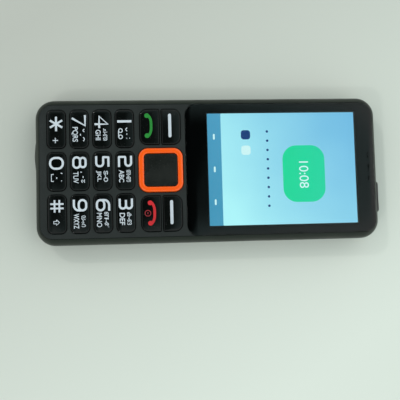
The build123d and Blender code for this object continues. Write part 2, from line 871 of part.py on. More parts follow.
# Rear housing: the band that shows at the sides, and the core that holds the battery and the board
with BuildPart() as rear_housing:
    with BuildSketch(Plane.XY.offset(core_low)):
        inner_outline(core_inset)
    extrude(amount=board_low - core_low)
    chamfer(rear_housing.faces().sort_by(Axis.Z)[0].edges(), core_edge)
    with BuildSketch(Plane.XY.offset(band_low)):
        body_outline(0)
        add(swell_outline(swell_proud))
    extrude(amount=rear_band_height)
    # the room for the parts, all round the battery bay
    with BuildSketch(Plane.XY.offset(skin_top)):
        inner_outline(core_inset + core_wall)
        with Locations((0, battery_y)):
            Rectangle(bay_width + 2 * bay_wall, bay_length + 2 * bay_wall, mode=Mode.SUBTRACT)
    extrude(amount=board_low - skin_top, mode=Mode.SUBTRACT)
    with BuildSketch(Plane.XY.offset(bay_floor_top)):
        with Locations((0, battery_y)):
            Rectangle(bay_width + 2 * bay_wall, bay_length + 2 * bay_wall)
    extrude(amount=component_space, mode=Mode.SUBTRACT)
    # the bay itself, from behind, and the windows of its floor and its lower wall
    with BuildSketch(Plane.XY.offset(core_low)):
        with Locations((0, battery_y)):
            stepped_rectangle(bay_width, bay_length, inner_corner_steps, battery_corner)
    extrude(amount=bay_top - core_low, mode=Mode.SUBTRACT)
    with BuildSketch(Plane.XY.offset(bay_top)):
        with Locations(*sim_places):
            Rectangle(sim_width + 2 * socket_window_gap, sim_length + 2 * socket_window_gap)
        with Locations(card_place):
            Rectangle(sim_width + 2 * socket_window_gap, card_socket_length + 2 * socket_window_gap)
    extrude(amount=bay_floor, mode=Mode.SUBTRACT)
    with BuildSketch(Plane.XZ.offset(-bay_low_y)):
        with Locations((0, contact_z)):
            Rectangle(contact_block_width, contact_blade_height + 2 * fit)
    extrude(amount=bay_wall, mode=Mode.SUBTRACT)
    # screw posts and the collar of the camera window
    with BuildSketch(Plane.XY.offset(skin_top)):
        with Locations(*screw_places):
            RegularPolygon(post_radius, few_sides)
    extrude(amount=board_low - skin_top)
    with BuildSketch(Plane.XY.offset(camera_recess)):
        with Locations((0, camera_y)):
            Circle(camera_window_radius + seam + camera_collar_wall)
    extrude(amount=skin_top - camera_recess)
    with BuildSketch(Plane.XY.offset(core_low)):
        with Locations(*screw_places):
            RegularPolygon(screw_head_radius + fit, few_sides)
    extrude(amount=screw_seat - core_low, mode=Mode.SUBTRACT)
    with BuildSketch(Plane.XY.offset(screw_seat)):
        with Locations(*screw_places):
            RegularPolygon(screw_radius + fit, few_sides)
    extrude(amount=board_low - screw_seat, mode=Mode.SUBTRACT)
    with BuildSketch(Plane.XY.offset(camera_recess)):
        with Locations((0, camera_y)):
            Circle(camera_window_radius + seam)
    extrude(amount=camera_window_thickness, mode=Mode.SUBTRACT)
    with BuildSketch(Plane.XY.offset(camera_recess)):
        with Locations((0, camera_y)):
            Circle(camera_sight_radius)
    extrude(amount=skin_top - camera_recess, mode=Mode.SUBTRACT)
    # the loudspeaker's window, the cover's tabs and the end openings
    with BuildSketch(Plane.XY.offset(core_low)):
        with Locations((0, speaker_y)):
            Rectangle(speaker_window_share * speaker_width, speaker_window_share * speaker_length)
    extrude(amount=rear_skin, mode=Mode.SUBTRACT)
    with BuildSketch(Plane.XY.offset(band_low)):
        for side in (-1, 1):
            with Locations((side * (body_width / 2 - cover_wall + tab_thickness / 2), 0)):
                with Locations(*tab_places):
                    Rectangle(tab_thickness + 2 * seam, tab_length + 2 * fit)
    extrude(amount=tab_rise + fit, mode=Mode.SUBTRACT)
    cut_end_openings(core_inset + core_wall + overrun)
finish(rear_housing, "rear_housing")

# Battery cover: a tray that closes the whole back
with BuildPart() as battery_cover:
    with BuildSketch(Plane.XY):
        body_outline(0)
    extrude(amount=cover_height)
    fillet(battery_cover.faces().sort_by(Axis.Z)[0].edges(), min(cover_radius, cover_height - 2 * slip))
    with BuildSketch(Plane.XY.offset(cover_wall)):
        inner_outline(cover_wall)
    extrude(amount=cover_height - cover_wall, mode=Mode.SUBTRACT)
    with BuildSketch(Plane.XY):
        with Locations((0, camera_y)):
            Circle(camera_window_radius + seam + camera_collar_wall + fit)
        with Locations((0, speaker_y)):
            with GridLocations(speaker_slot_pitch, 0, speaker_slot_count, 1):
                stepped_rectangle(
                    speaker_slot_width,
                    speaker_slot_length,
                    slot_corner_steps,
                    slot_round_share * speaker_slot_width / 2,
                )
    extrude(amount=cover_wall, mode=Mode.SUBTRACT)
    # a notch at the foot for a fingernail
    with BuildSketch(Plane.XY.offset(cover_height - notch_height)):
        with Locations((0, -end_y)):
            Rectangle(notch_width, 2 * notch_depth)
    extrude(amount=notch_height, mode=Mode.SUBTRACT)
    # tabs that rise into the rear housing's band
    with BuildSketch(Plane.XY.offset(cover_height - tab_root)):
        for side in (-1, 1):
            with Locations((side * (body_width / 2 - cover_wall + tab_thickness / 2), 0)):
                with Locations(*tab_places):
                    Rectangle(tab_thickness, tab_length)
    extrude(amount=tab_root + tab_rise)
finish(battery_cover, "battery_cover")

# Battery, its contact block and its three contact springs
with BuildPart() as battery:
    with BuildSketch(Plane.XY.offset(battery_low)):
        with Locations((0, battery_y)):
            stepped_rectangle(battery_width, battery_length, inner_corner_steps, battery_corner)
    extrude(amount=battery_thickness)
finish(battery, "battery")

with BuildPart() as contact_block:
    with BuildSketch(Plane.XY.offset(board_low)):
        with Locations((0, contact_block_y)):
            Rectangle(contact_block_width, contact_block_length)
    extrude(amount=-contact_block_height)
    with BuildSketch(Plane.XZ.offset(-contact_block_y - contact_block_length / 2)):
        with Locations((0, contact_z)):
            with GridLocations(contact_blade_pitch, 0, 3, 1):
                Rectangle(contact_blade_width, contact_blade_height)
    extrude(amount=contact_block_length / 2, mode=Mode.SUBTRACT)
finish(contact_block, "contact_block")

with BuildPart() as contact_springs:
    with BuildSketch(Plane.XZ.offset(-contact_block_y)):
        with Locations((0, contact_z)):
            with GridLocations(contact_blade_pitch, 0, 3, 1):
                Rectangle(contact_blade_width, contact_blade_height)
    extrude(amount=contact_block_y - battery_low_y + contact_blade_gap)
    chamfer(
        contact_springs.faces().filter_by(Plane.XZ).group_by(Axis.Y)[-1].edges().filter_by(Axis.X),
        contact_blade_height / 3,
    )
finish(contact_springs, "contact_springs")

# Charging socket in the swell, a shell with two cut corners, and its tongue
with BuildPart() as usb_socket:
    with BuildSketch(Plane.XZ.offset(end_y - usb_recess)) as usb_mouth:
        with Locations((usb_across, usb_z)):
            Rectangle(usb_width, usb_height)
        chamfer(usb_mouth.vertices().group_by(Axis.Y)[0], usb_chamfer)
    extrude(amount=-usb_length)
    with BuildSketch(Plane.XZ.offset(end_y - usb_recess)) as usb_hollow:
        with Locations((usb_across, usb_z)):
            Rectangle(usb_width - 2 * usb_wall, usb_height - 2 * usb_wall)
        chamfer(usb_hollow.vertices().group_by(Axis.Y)[0], usb_chamfer)
    extrude(amount=-usb_cavity, mode=Mode.SUBTRACT)
finish(usb_socket, "usb_socket")

with BuildPart() as usb_tongue:
    with BuildSketch(Plane.XZ.offset(end_y - usb_recess - usb_cavity)):
        with Locations((usb_across, usb_z)):
            Rectangle(usb_tongue_width, usb_tongue_thickness)
    extrude(amount=usb_tongue_length)
finish(usb_tongue, "usb_tongue")

# Headphone socket: a collar through the end wall and a body under the board, on one bore
with BuildPart() as audio_jack:
    with BuildSketch(Plane.XZ.offset(-end_y)):
        with Locations((jack_across, jack_z)):
            Circle(jack_bore_radius + jack_collar_wall)
    extrude(amount=core_inset + core_wall + fit)
    with BuildSketch(Plane.XZ.offset(-end_y + core_inset + core_wall + fit)):
        with Locations((jack_across, jack_z)):
            Rectangle(jack_body_width, jack_body_height)
    extrude(amount=jack_bore_length + jack_back - core_inset - core_wall - fit)
    with BuildSketch(Plane.XZ.offset(-end_y)):
        with Locations((jack_across, jack_z)):
            Circle(jack_bore_radius)
    extrude(amount=jack_bore_length, mode=Mode.SUBTRACT)
finish(audio_jack, "audio_jack")

# Torch lens: a raised window in the top end, over two lamps
with BuildPart() as torch_lens:
    with BuildSketch(Plane.XZ.offset(-end_y - torch_proud)):
        with Locations((torch_across, torch_z)):
            stepped_rectangle(torch_width, torch_height, key_corner_steps, torch_corner)
    extrude(amount=torch_proud + torch_depth)
    chamfer(torch_lens.faces().sort_by(Axis.Y)[-1].edges(), torch_edge)
finish(torch_lens, "torch_lens")

with BuildPart() as torch_leds:
    with BuildSketch(Plane.XY.offset(board_low)):
        with Locations((torch_across, end_y - torch_depth - torch_lamp_back - torch_lamp_length / 2)):
            with GridLocations(torch_lamp_pitch, 0, 2, 1):
                Rectangle(torch_lamp_width, torch_lamp_length)
    extrude(amount=-torch_lamp_height)
finish(torch_leds, "torch_leds")

# Microphone
with BuildPart() as microphone:
    with BuildSketch(Plane.XY.offset(board_low)):
        with Locations((mic_across, mic_from_end - end_y)):
            Rectangle(mic_width, mic_length)
    extrude(amount=-mic_height)
finish(microphone, "microphone")

# Loudspeaker on the rear housing's skin, with its mesh in the window behind it
with BuildPart() as loudspeaker:
    with BuildSketch(Plane.XY.offset(skin_top)):
        with Locations((0, speaker_y)):
            stepped_rectangle(
                speaker_width, speaker_length, inner_corner_steps, slot_round_share * speaker_length / 2
            )
    extrude(amount=speaker_thickness)
finish(loudspeaker, "loudspeaker")

with BuildPart() as speaker_mesh:
    with BuildSketch(Plane.XY.offset(skin_top - mesh_thickness)):
        with Locations((0, speaker_y)):
            Rectangle(speaker_window_share * speaker_width - fit, speaker_window_share * speaker_length - fit)
    extrude(amount=mesh_thickness)
finish(speaker_mesh, "speaker_mesh")

# Vibration motor, and the half-round weight on its shaft
motor_front_y = speaker_y + motor_length / 2
with BuildPart() as vibration_motor:
    with BuildSketch(Plane.XZ.offset(-motor_front_y)):
        with Locations((motor_across, motor_z)):
            Circle(motor_radius)
    extrude(amount=motor_length)
    with BuildSketch(Plane.XZ.offset(-motor_front_y)):
        with Locations((motor_across, motor_z)):
            Circle(motor_shaft_radius + slip)
    extrude(amount=motor_shaft_hold, mode=Mode.SUBTRACT)
finish(vibration_motor, "vibration_motor")

with BuildPart() as motor_weight:
    with BuildSketch(Plane.XZ.offset(-motor_front_y - weight_gap)):
        with Locations((motor_across, motor_z)):
            Circle(weight_radius)
        with Locations((motor_across, motor_z + weight_radius)):
            Rectangle(2 * weight_radius, 2 * weight_radius - motor_shaft_radius, mode=Mode.SUBTRACT)
        with Locations((motor_across, motor_z)):
            Circle(motor_shaft_radius)
    extrude(amount=-weight_length)
    with BuildSketch(Plane.XZ.offset(-motor_front_y - weight_gap)):
        with Locations((motor_across, motor_z)):
            Circle(motor_shaft_radius)
    extrude(amount=weight_gap + motor_shaft_hold - fit)
finish(motor_weight, "motor_weight")

# Camera module under the board, and its window in the rear housing's collar
with BuildPart() as camera_module:
    with BuildSketch(Plane.XY.offset(board_low)):
        with Locations((0, camera_y)):
            Rectangle(camera_width, camera_width)
    extrude(amount=-camera_base_height)
    with BuildSketch(Plane.XY.offset(board_low - camera_base_height)):
        with Locations((0, camera_y)):
            Circle(camera_barrel_radius)
    extrude(amount=-camera_barrel_length)
finish(camera_module, "camera_module")

with BuildPart() as camera_window:
    with BuildSketch(Plane.XY.offset(camera_recess)):
        with Locations((0, camera_y)):
            Circle(camera_window_radius)
    extrude(amount=camera_window_thickness)
finish(camera_window, "camera_window")

# Antenna, a film on the rear housing's skin at the foot
with BuildPart() as antenna:
    with BuildSketch(Plane.XY.offset(skin_top)):
        with Locations((0, antenna_y)):
            Rectangle(antenna_width, antenna_length)
    extrude(amount=antenna_thickness)
finish(antenna, "antenna")

# Housing screws, up through the rear housing and the board into the front housing's bosses
with BuildPart() as housing_screws:
    with BuildSketch(Plane.XY.offset(screw_seat - screw_head_height)):
        with Locations(*screw_places):
            RegularPolygon(screw_head_radius, few_sides)
    extrude(amount=screw_head_height)
    with BuildSketch(Plane.XY.offset(screw_seat)):
        with Locations(*screw_places):
            RegularPolygon(screw_radius, few_sides)
    extrude(amount=board_top + screw_bite - fit - screw_seat)
finish(housing_screws, "housing_screws")

print("body", body_width, body_length, face_top, "highest", nav_top)
print("rocking centre", nav_y, "motor axis", motor_across, motor_z, "jack", jack_across, end_y, jack_z)
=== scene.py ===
import logging
import math
from contextlib import contextmanager
from dataclasses import dataclass, field
from enum import Enum
from typing import Callable, Iterable, Iterator, Optional, Sequence

import bmesh
import bpy
from mathutils import Matrix, Vector


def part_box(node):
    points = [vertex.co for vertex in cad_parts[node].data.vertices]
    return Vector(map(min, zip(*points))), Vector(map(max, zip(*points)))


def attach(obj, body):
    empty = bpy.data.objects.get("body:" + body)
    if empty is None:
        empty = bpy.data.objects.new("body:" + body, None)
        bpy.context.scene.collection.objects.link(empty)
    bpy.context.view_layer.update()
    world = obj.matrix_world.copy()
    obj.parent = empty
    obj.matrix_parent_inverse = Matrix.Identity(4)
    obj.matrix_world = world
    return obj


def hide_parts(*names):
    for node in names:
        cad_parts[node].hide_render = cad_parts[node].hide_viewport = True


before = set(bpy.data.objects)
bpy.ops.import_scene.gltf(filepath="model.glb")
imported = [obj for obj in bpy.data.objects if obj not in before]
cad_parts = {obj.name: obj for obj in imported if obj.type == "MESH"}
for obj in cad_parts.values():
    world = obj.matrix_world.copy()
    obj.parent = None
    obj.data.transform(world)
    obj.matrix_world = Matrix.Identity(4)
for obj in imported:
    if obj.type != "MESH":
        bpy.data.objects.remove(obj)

logging.basicConfig(level=logging.INFO, format="%(name)s: %(message)s")
log = logging.getLogger("phone")

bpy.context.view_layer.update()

# One millimetre, in metres
MM = 0.001
# The least part of a face's normal that lies along an axis, for the face to look along it
FACING = 0.9
# How near two places are, in millimetres, to count as one: of faces and of points
NEAR = 0.01
TOUCHING = 0.001
# The most of an upright face's normal that lies along Z, and the least of a sloping one's
UPRIGHT = 0.02
SLOPING = 0.3
# How far along an axis, in millimetres, an edge that runs along it reaches at least
LONG = 1.0
# How far cutters run past what they cut, in millimetres
OVERRUN = 1.0
# How near points are, in millimetres, to be merged: in a finished piece and in a copied solid
WELD_REACH = 0.0005
SOLID_REACH = 0.0002

Point = tuple[float, float]
Path = list[Point]
Colour = tuple[float, float, float, float]
Test = Callable[..., bool]


class Slot(Enum):
    """The material slots of the record."""

    HOUSING = "housing_plastic"
    COVER = "cover_plastic"
    PLATE = "plate_plastic"
    LENS = "lens_clear"
    BORDER = "border_print"
    DISPLAY = "display_glass"
    DIFFUSER = "diffuser_plastic"
    STEEL = "steel"
    FLEX = "flex_film"
    BLACK = "black_plastic"
    MESH = "mesh_metal"
    SILICONE = "silicone"
    BOARD = "board"
    WRAP = "battery_wrap"
    GOLD = "gold_contacts"
    KEY = "key_gloss"
    OK = "ok_gloss"
    RING = "ring_orange"
    TORCH = "torch_window"
    LAMP = "torch_lamps"
    CAMERA = "camera_glass"


class Cut(Enum):
    """What a Boolean does with its second piece."""

    AWAY = "DIFFERENCE"
    ON = "UNION"


# Work at the bench: pieces are shaped in millimetres, and brought to metres when they are fitted


def middle(node: str) -> Vector:
    """The middle of a CAD node at rest, in millimetres."""
    low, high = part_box(node)
    return (low + high) / 2 / MM


def span(node: str) -> tuple[Vector, Vector]:
    """The lowest and highest corners of a CAD node at rest, in millimetres."""
    low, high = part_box(node)
    return low / MM, high / MM


def pick_only(piece: bpy.types.Object) -> None:
    """Selects one piece alone and makes it the active one.

    Args:
        piece: the piece.
    """
    bpy.ops.object.select_all(action="DESELECT")
    piece.select_set(True)
    bpy.context.view_layer.objects.active = piece


@contextmanager
def editing(piece: bpy.types.Object, kind: str = "FACE") -> Iterator[None]:
    """Opens a piece in edit mode with nothing selected, and closes it after.

    Args:
        piece: the piece to shape.
        kind: what is selected in it, as VERT, EDGE or FACE.

    Yields:
        Nothing, once the piece is open.
    """
    pick_only(piece)
    bpy.ops.object.mode_set(mode="EDIT")
    bpy.ops.mesh.select_mode(type=kind)
    bpy.ops.mesh.select_all(action="DESELECT")
    yield
    bpy.ops.object.mode_set(mode="OBJECT")


@contextmanager
def choosing(piece: bpy.types.Object) -> Iterator[bmesh.types.BMesh]:
    """Opens the mesh of a piece in edit mode, to choose anew what is selected in it.

    Args:
        piece: the piece, which is in edit mode.

    Yields:
        The mesh, with nothing selected.
    """
    bpy.ops.mesh.select_all(action="DESELECT")
    mesh = bmesh.from_edit_mesh(piece.data)
    yield mesh
    bmesh.update_edit_mesh(piece.data)


def select_if(parts: Iterable, test: Test) -> None:
    """Selects the parts of a mesh that pass a test.

    Args:
        parts: its points, edges or faces.
        test: tells whether one is selected.
    """
    for part in parts:
        if test(part):
            part.select_set(True)


def choose_faces(piece: bpy.types.Object, test: Test) -> None:
    """Selects, in edit mode, the faces that pass a test, and no others."""
    with choosing(piece) as mesh:
        select_if(mesh.faces, test)


def choose_edges(piece: bpy.types.Object, test: Test) -> None:
    """Selects, in edit mode, the edges that pass a test, and no others."""
    with choosing(piece) as mesh:
        select_if(mesh.edges, test)


def choose_verts(piece: bpy.types.Object, test: Test) -> None:
    """Selects, in edit mode, the points that pass a test on their place, and no others.

    Args:
        piece: the piece.
        test: tells whether a point at a place is selected.
    """
    with choosing(piece) as mesh:
        select_if(mesh.verts, lambda vert: test(vert.co))
        mesh.select_flush(True)


def step_in(thickness: float, rise: float) -> None:
    """Insets the selected face and moves its middle along its normal."""
    bpy.ops.mesh.inset(thickness=thickness, depth=rise, use_even_offset=True)


def draw_out(distance: float) -> None:
    """Extrudes the selected face straight along Z."""
    bpy.ops.mesh.extrude_region_move(TRANSFORM_OT_translate={"value": (0, 0, distance)})


def round_over(radius: float, steps: int) -> None:
    """Turns the wall under the selected face into a quarter round that ends in that face.

    Args:
        radius: the radius of the round.
        steps: how many flats make it up.
    """
    turn = math.pi / 2 / steps
    for step in range(steps):
        start, end = step * turn, (step + 1) * turn
        inward = radius * (math.cos(start) - math.cos(end))
        step_in(inward, radius * (math.sin(end) - math.sin(start)))


def round_in(radius: float, steps: int) -> None:
    """Turns the selected face down into a quarter round that ends in a wall going down.

    Args:
        radius: the radius of the round.
        steps: how many flats make it up.
    """
    turn = math.pi / 2 / steps
    for step in range(steps):
        start, end = step * turn, (step + 1) * turn
        inward = radius * (math.sin(end) - math.sin(start))
        step_in(inward, -radius * (math.cos(start) - math.cos(end)))


def bevel_edges(radius: float, steps: int) -> None:
    """Rounds the selected edges.

    Args:
        radius: the radius of the round.
        steps: how many flats make it up.
    """
    bpy.ops.mesh.bevel(offset_type="OFFSET", offset=radius, segments=steps, profile=0.5, affect="EDGES")


def faces_up(level: float) -> Test:
    """A test for faces that look up and lie at this height."""
    return lambda face: face.normal.z > FACING and abs(face.calc_center_median().z - level) < NEAR


def faces_down(level: float) -> Test:
    """A test for faces that look down and lie at this height."""
    return lambda face: face.normal.z < -FACING and abs(face.calc_center_median().z - level) < NEAR


def settle(name: str) -> bpy.types.Object:
    """Takes the place of the object just made into its mesh, and names it.

    Args:
        name: the name of the piece.

    Returns:
        The piece.
    """
    piece = bpy.context.object
    bpy.ops.object.transform_apply(location=True, rotation=True, scale=True)
    piece.name = piece.data.name = name
    return piece


def cube(name: str, place: Sequence[float], size: Sequence[float]) -> bpy.types.Object:
    """Makes a square block of this size about this place.

    Args:
        name: the name of the piece.
        place: its middle.
        size: its size along each axis.

    Returns:
        The block.
    """
    bpy.ops.object.select_all(action="DESELECT")
    bpy.ops.mesh.primitive_cube_add(size=1, location=place, scale=size)
    return settle(name)


def brick(name: str, low: Sequence[float], high: Sequence[float]) -> bpy.types.Object:
    """Makes a square block between two corners."""
    size = [top - bottom for bottom, top in zip(low, high)]
    return cube(name, [(top + bottom) / 2 for bottom, top in zip(low, high)], size)


def drum(
    name: str, radius: float, depth: float, place: Sequence[float], turn: Point = (0, 0), sides: int = 48
) -> bpy.types.Object:
    """Makes a round bar.

    Args:
        name: the name of the piece.
        radius: its radius.
        depth: its length.
        place: its middle.
        turn: its rotation about X and Y, in degrees.
        sides: its number of flats.

    Returns:
        The bar.
    """
    rotation = (math.radians(turn[0]), math.radians(turn[1]), 0)
    bpy.ops.object.select_all(action="DESELECT")
    bpy.ops.mesh.primitive_cylinder_add(
        vertices=sides, radius=radius, depth=depth, location=place, rotation=rotation
    )
    return settle(name)


@dataclass(frozen=True)
class Plan:
    """A rounded rectangle in plan, the start of most pieces of this phone."""

    width: float
    length: float
    corner: float
    head_corner: Optional[float] = None
    across: float = 0.0
    along: float = 0.0
    steps: int = 12

    def grown(self, by: float) -> "Plan":
        """The same plan, grown all round, or drawn in where by is negative.

        Args:
            by: how far each side and corner grows.

        Returns:
            The plan.
        """
        head = None if self.head_corner is None else self.head_corner + by
        width, length, corner = self.width + 2 * by, self.length + 2 * by, self.corner + by
        return Plan(width, length, corner, head, self.across, self.along, self.steps)

    def block(self, name: str, low: float, high: float) -> bpy.types.Object:
        """Makes the block that stands on this plan.

        Args:
            name: the name of the piece.
            low: the height of its underside.
            high: the height of its top.

        Returns:
            The block, with its upright edges rounded.
        """
        place = (self.across, self.along, (low + high) / 2)
        piece = cube(name, place, (self.width, self.length, high - low))
        head = self.corner if self.head_corner is None else self.head_corner
        for side, radius in ((-1, self.corner), (1, head)):
            with editing(piece, "EDGE"):
                choose_edges(piece, lambda edge: self._upright(edge, side))
                bevel_edges(radius, self.steps)
        return piece

    def _upright(self, edge: bmesh.types.BMEdge, side: int) -> bool:
        """Whether an edge stands upright at a square corner at the foot or the head of the plan.

        Args:
            edge: the edge.
            side: -1 for the foot and 1 for the head.

        Returns:
            Whether it does.
        """
        first, second = (vert.co for vert in edge.verts)
        upright = (first - second).xy.length < TOUCHING
        square = abs(abs(first.x - self.across) - self.width / 2) < TOUCHING
        at_end = abs((first.y - self.along) - side * self.length / 2) < TOUCHING
        return upright and square and at_end


def plan_over(node: str, corners: Sequence[float], inset: float = 0.0, steps: int = 12) -> Plan:
    """The plan that a CAD solid takes up.

    Args:
        node: the solid.
        corners: the radius of its corners, or those at its foot and at its head.
        inset: how far the plan is drawn in all round.
        steps: how many flats make up a corner.

    Returns:
        The plan.
    """
    low, high = span(node)
    size = (high.x - low.x - 2 * inset, high.y - low.y - 2 * inset)
    return Plan(*size, *corners, across=(low.x + high.x) / 2, along=(low.y + high.y) / 2, steps=steps)


def carve(piece: bpy.types.Object, cutter: bpy.types.Object, how: Cut = Cut.AWAY) -> None:
    """Cuts a piece with another, or joins it on, and takes the other away.

    Args:
        piece: the piece that stays.
        cutter: the piece that is used up.
        how: whether the cutter is taken away or joined on.
    """
    pick_only(piece)
    bpy.ops.object.modifier_add(type="BOOLEAN")
    modifier = piece.modifiers[-1]
    modifier.object = cutter
    modifier.operation = how.value
    modifier.solver = "EXACT"
    bpy.ops.object.modifier_apply(modifier=modifier.name)
    bpy.data.objects.remove(cutter)


def weld(piece: bpy.types.Object) -> None:
    """Merges a piece's doubled points and turns its faces outwards.

    Args:
        piece: the piece.
    """
    with editing(piece, "VERT"):
        bpy.ops.mesh.select_all(action="SELECT")
        bpy.ops.mesh.remove_doubles(threshold=WELD_REACH)
        bpy.ops.mesh.normals_make_consistent(inside=False)


def join(pieces: Sequence[bpy.types.Object], name: str) -> bpy.types.Object:
    """Joins several objects into one under a new name.

    Args:
        pieces: the objects, used up.
        name: the name of the whole.

    Returns:
        The whole.
    """
    pick_only(pieces[0])
    for piece in pieces:
        piece.select_set(True)
    bpy.ops.object.join()
    whole = bpy.context.object
    whole.name = whole.data.name = name
    return whole


def twin(piece: bpy.types.Object, name: str, move: Vector) -> bpy.types.Object:
    """Copies a piece, with a mesh of its own, to another place.

    Args:
        piece: the piece that is copied.
        name: the name of the copy.
        move: how far off the copy lies.

    Returns:
        The copy.
    """
    copy = piece.copy()
    copy.data = piece.data.copy()
    copy.name = copy.data.name = name
    bpy.context.scene.collection.objects.link(copy)
    copy.data.transform(Matrix.Translation(move))
    return copy


def from_solid(node: str, name: str) -> bpy.types.Object:
    """Copies a CAD solid as a piece in millimetres, with its loose triangles merged.

    Args:
        node: the solid.
        name: the name of the piece.

    Returns:
        The piece.
    """
    piece = bpy.data.objects.new(name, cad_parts[node].data.copy())
    piece.data.name = name
    piece.data.materials.clear()
    bpy.context.scene.collection.objects.link(piece)
    piece.data.transform(Matrix.Scale(1 / MM, 4))
    pick_only(piece)
    bpy.ops.mesh.customdata_custom_splitnormals_clear()
    with editing(piece, "VERT"):
        bpy.ops.mesh.select_all(action="SELECT")
        bpy.ops.mesh.remove_doubles(threshold=SOLID_REACH)
    return piece


def fit_piece(
    piece: bpy.types.Object,
    body: str,
    finish: "Finish",
    stands_for: Sequence[str] = (),
    smooth: float = 30.0,
) -> bpy.types.Object:
    """Brings a finished piece to metres, dresses it and fixes it to its body.

    Args:
        piece: the piece, its place in its mesh.
        body: the CAD body that it rides on.
        finish: its finish, whose slot is named in the log.
        stands_for: the CAD nodes that it replaces.
        smooth: the angle in degrees under which its faces meet smoothly.

    Returns:
        The piece.
    """
    piece.data.transform(Matrix.Scale(MM, 4))
    pick_only(piece)
    bpy.ops.object.shade_smooth_by_angle(angle=math.radians(smooth))
    piece.data.materials.clear()
    piece.data.materials.append(finish.material())
    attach(piece, body)
    if stands_for:
        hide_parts(*stands_for)
    log.info("%s rides on %s in %s", piece.name, body, finish.slot.value)
    return piece


# Finishes


def tint(red: float, green: float, blue: float) -> Colour:
    """A colour from 0 to 255 as the shader takes it.

    Args:
        red: its red.
        green: its green.
        blue: its blue.

    Returns:
        The colour, linear and opaque.
    """
    parts = [value / 255 for value in (red, green, blue)]
    linear = [part / 12.92 if part <= 0.04045 else ((part + 0.055) / 1.055) ** 2.4 for part in parts]
    return (*linear, 1.0)


class Sheet:
    """A node tree and short ways to add to it."""

    def __init__(self, tree: bpy.types.NodeTree) -> None:
        """Starts on an empty tree."""
        self.tree = tree
        tree.nodes.clear()

    def add(self, kind: str, values: Optional[dict] = None, **settings: object) -> bpy.types.Node:
        """Adds a node.

        Args:
            kind: its type.
            values: its inputs by name, each a value or a socket that feeds it.
            settings: its own settings.

        Returns:
            The node.
        """
        node = self.tree.nodes.new(kind)
        for key, value in settings.items():
            setattr(node, key, value)
        for key, value in (values or {}).items():
            self.set(node.inputs[key], value)
        return node

    def set(self, socket: bpy.types.NodeSocket, value: object) -> None:
        """Gives a socket a value, or a link where the value is a socket.

        Args:
            socket: the input.
            value: the value or the socket that feeds it.
        """
        if isinstance(value, bpy.types.NodeSocket):
            self.tree.links.new(value, socket)
        else:
            socket.default_value = value

    def place(self, scale: Sequence[float] = (1, 1, 1)) -> bpy.types.NodeSocket:
        """Object coordinates, stretched along each axis."""
        where = self.add("ShaderNodeTexCoord")
        return self.add("ShaderNodeMapping", {"Vector": where.outputs["Object"], "Scale": scale}).outputs[0]

    def noise(self, where: bpy.types.NodeSocket, scale: object, detail: float) -> bpy.types.NodeSocket:
        """A noise of this scale, in cells to the metre."""
        node = self.add("ShaderNodeTexNoise", {"Vector": where, "Scale": scale, "Detail": detail})
        return node.outputs["Fac"]

    def spread(
        self, source: bpy.types.NodeSocket, low: object, high: object, start: float, end: float
    ) -> bpy.types.NodeSocket:
        """Maps a value from start..end to low..high."""
        values = {"Value": source, "From Min": start, "From Max": end, "To Min": low, "To Max": high}
        return self.add("ShaderNodeMapRange", values).outputs[0]

    def sums(self, operation: str, first: object, second: object) -> bpy.types.NodeSocket:
        """Two values through one step of arithmetic.

        Args:
            operation: the step, by its name in capitals.
            first: the first value or socket.
            second: the second value or socket.

        Returns:
            What comes out.
        """
        node = self.add("ShaderNodeMath", operation=operation)
        self.set(node.inputs[0], first)
        self.set(node.inputs[1], second)
        return node.outputs[0]

    def blend(self, share: object, first: object, second: object) -> bpy.types.NodeSocket:
        """Two colours mixed by a share.

        Args:
            share: how much of the second is in it.
            first: the first colour or socket.
            second: the second colour or socket.

        Returns:
            The mixed colour.
        """
        node = self.add("ShaderNodeMix", data_type="RGBA")
        self.set(node.inputs[0], share)
        self.set(node.inputs[6], first)
        self.set(node.inputs[7], second)
        return node.outputs[2]

    def bump(self, height: object, strength: float, distance: float) -> bpy.types.NodeSocket:
        """A bump from a height, this strong and this many metres high."""
        values = {"Height": height, "Strength": strength, "Distance": distance}
        return self.add("ShaderNodeBump", values).outputs[0]

    def shade(self, values: dict) -> None:
        """Adds the surface's shader with these inputs by name, and feeds it to the output."""
        shader = self.add("ShaderNodeBsdfPrincipled", values)
        self.add("ShaderNodeOutputMaterial", {"Surface": shader.outputs[0]})


def new_surface(name: str) -> tuple[bpy.types.Material, Sheet]:
    """Starts a material with an empty sheet.

    Args:
        name: its name.

    Returns:
        The material and its sheet.
    """
    material = bpy.data.materials.new(name)
    material.use_nodes = True
    return material, Sheet(material.node_tree)


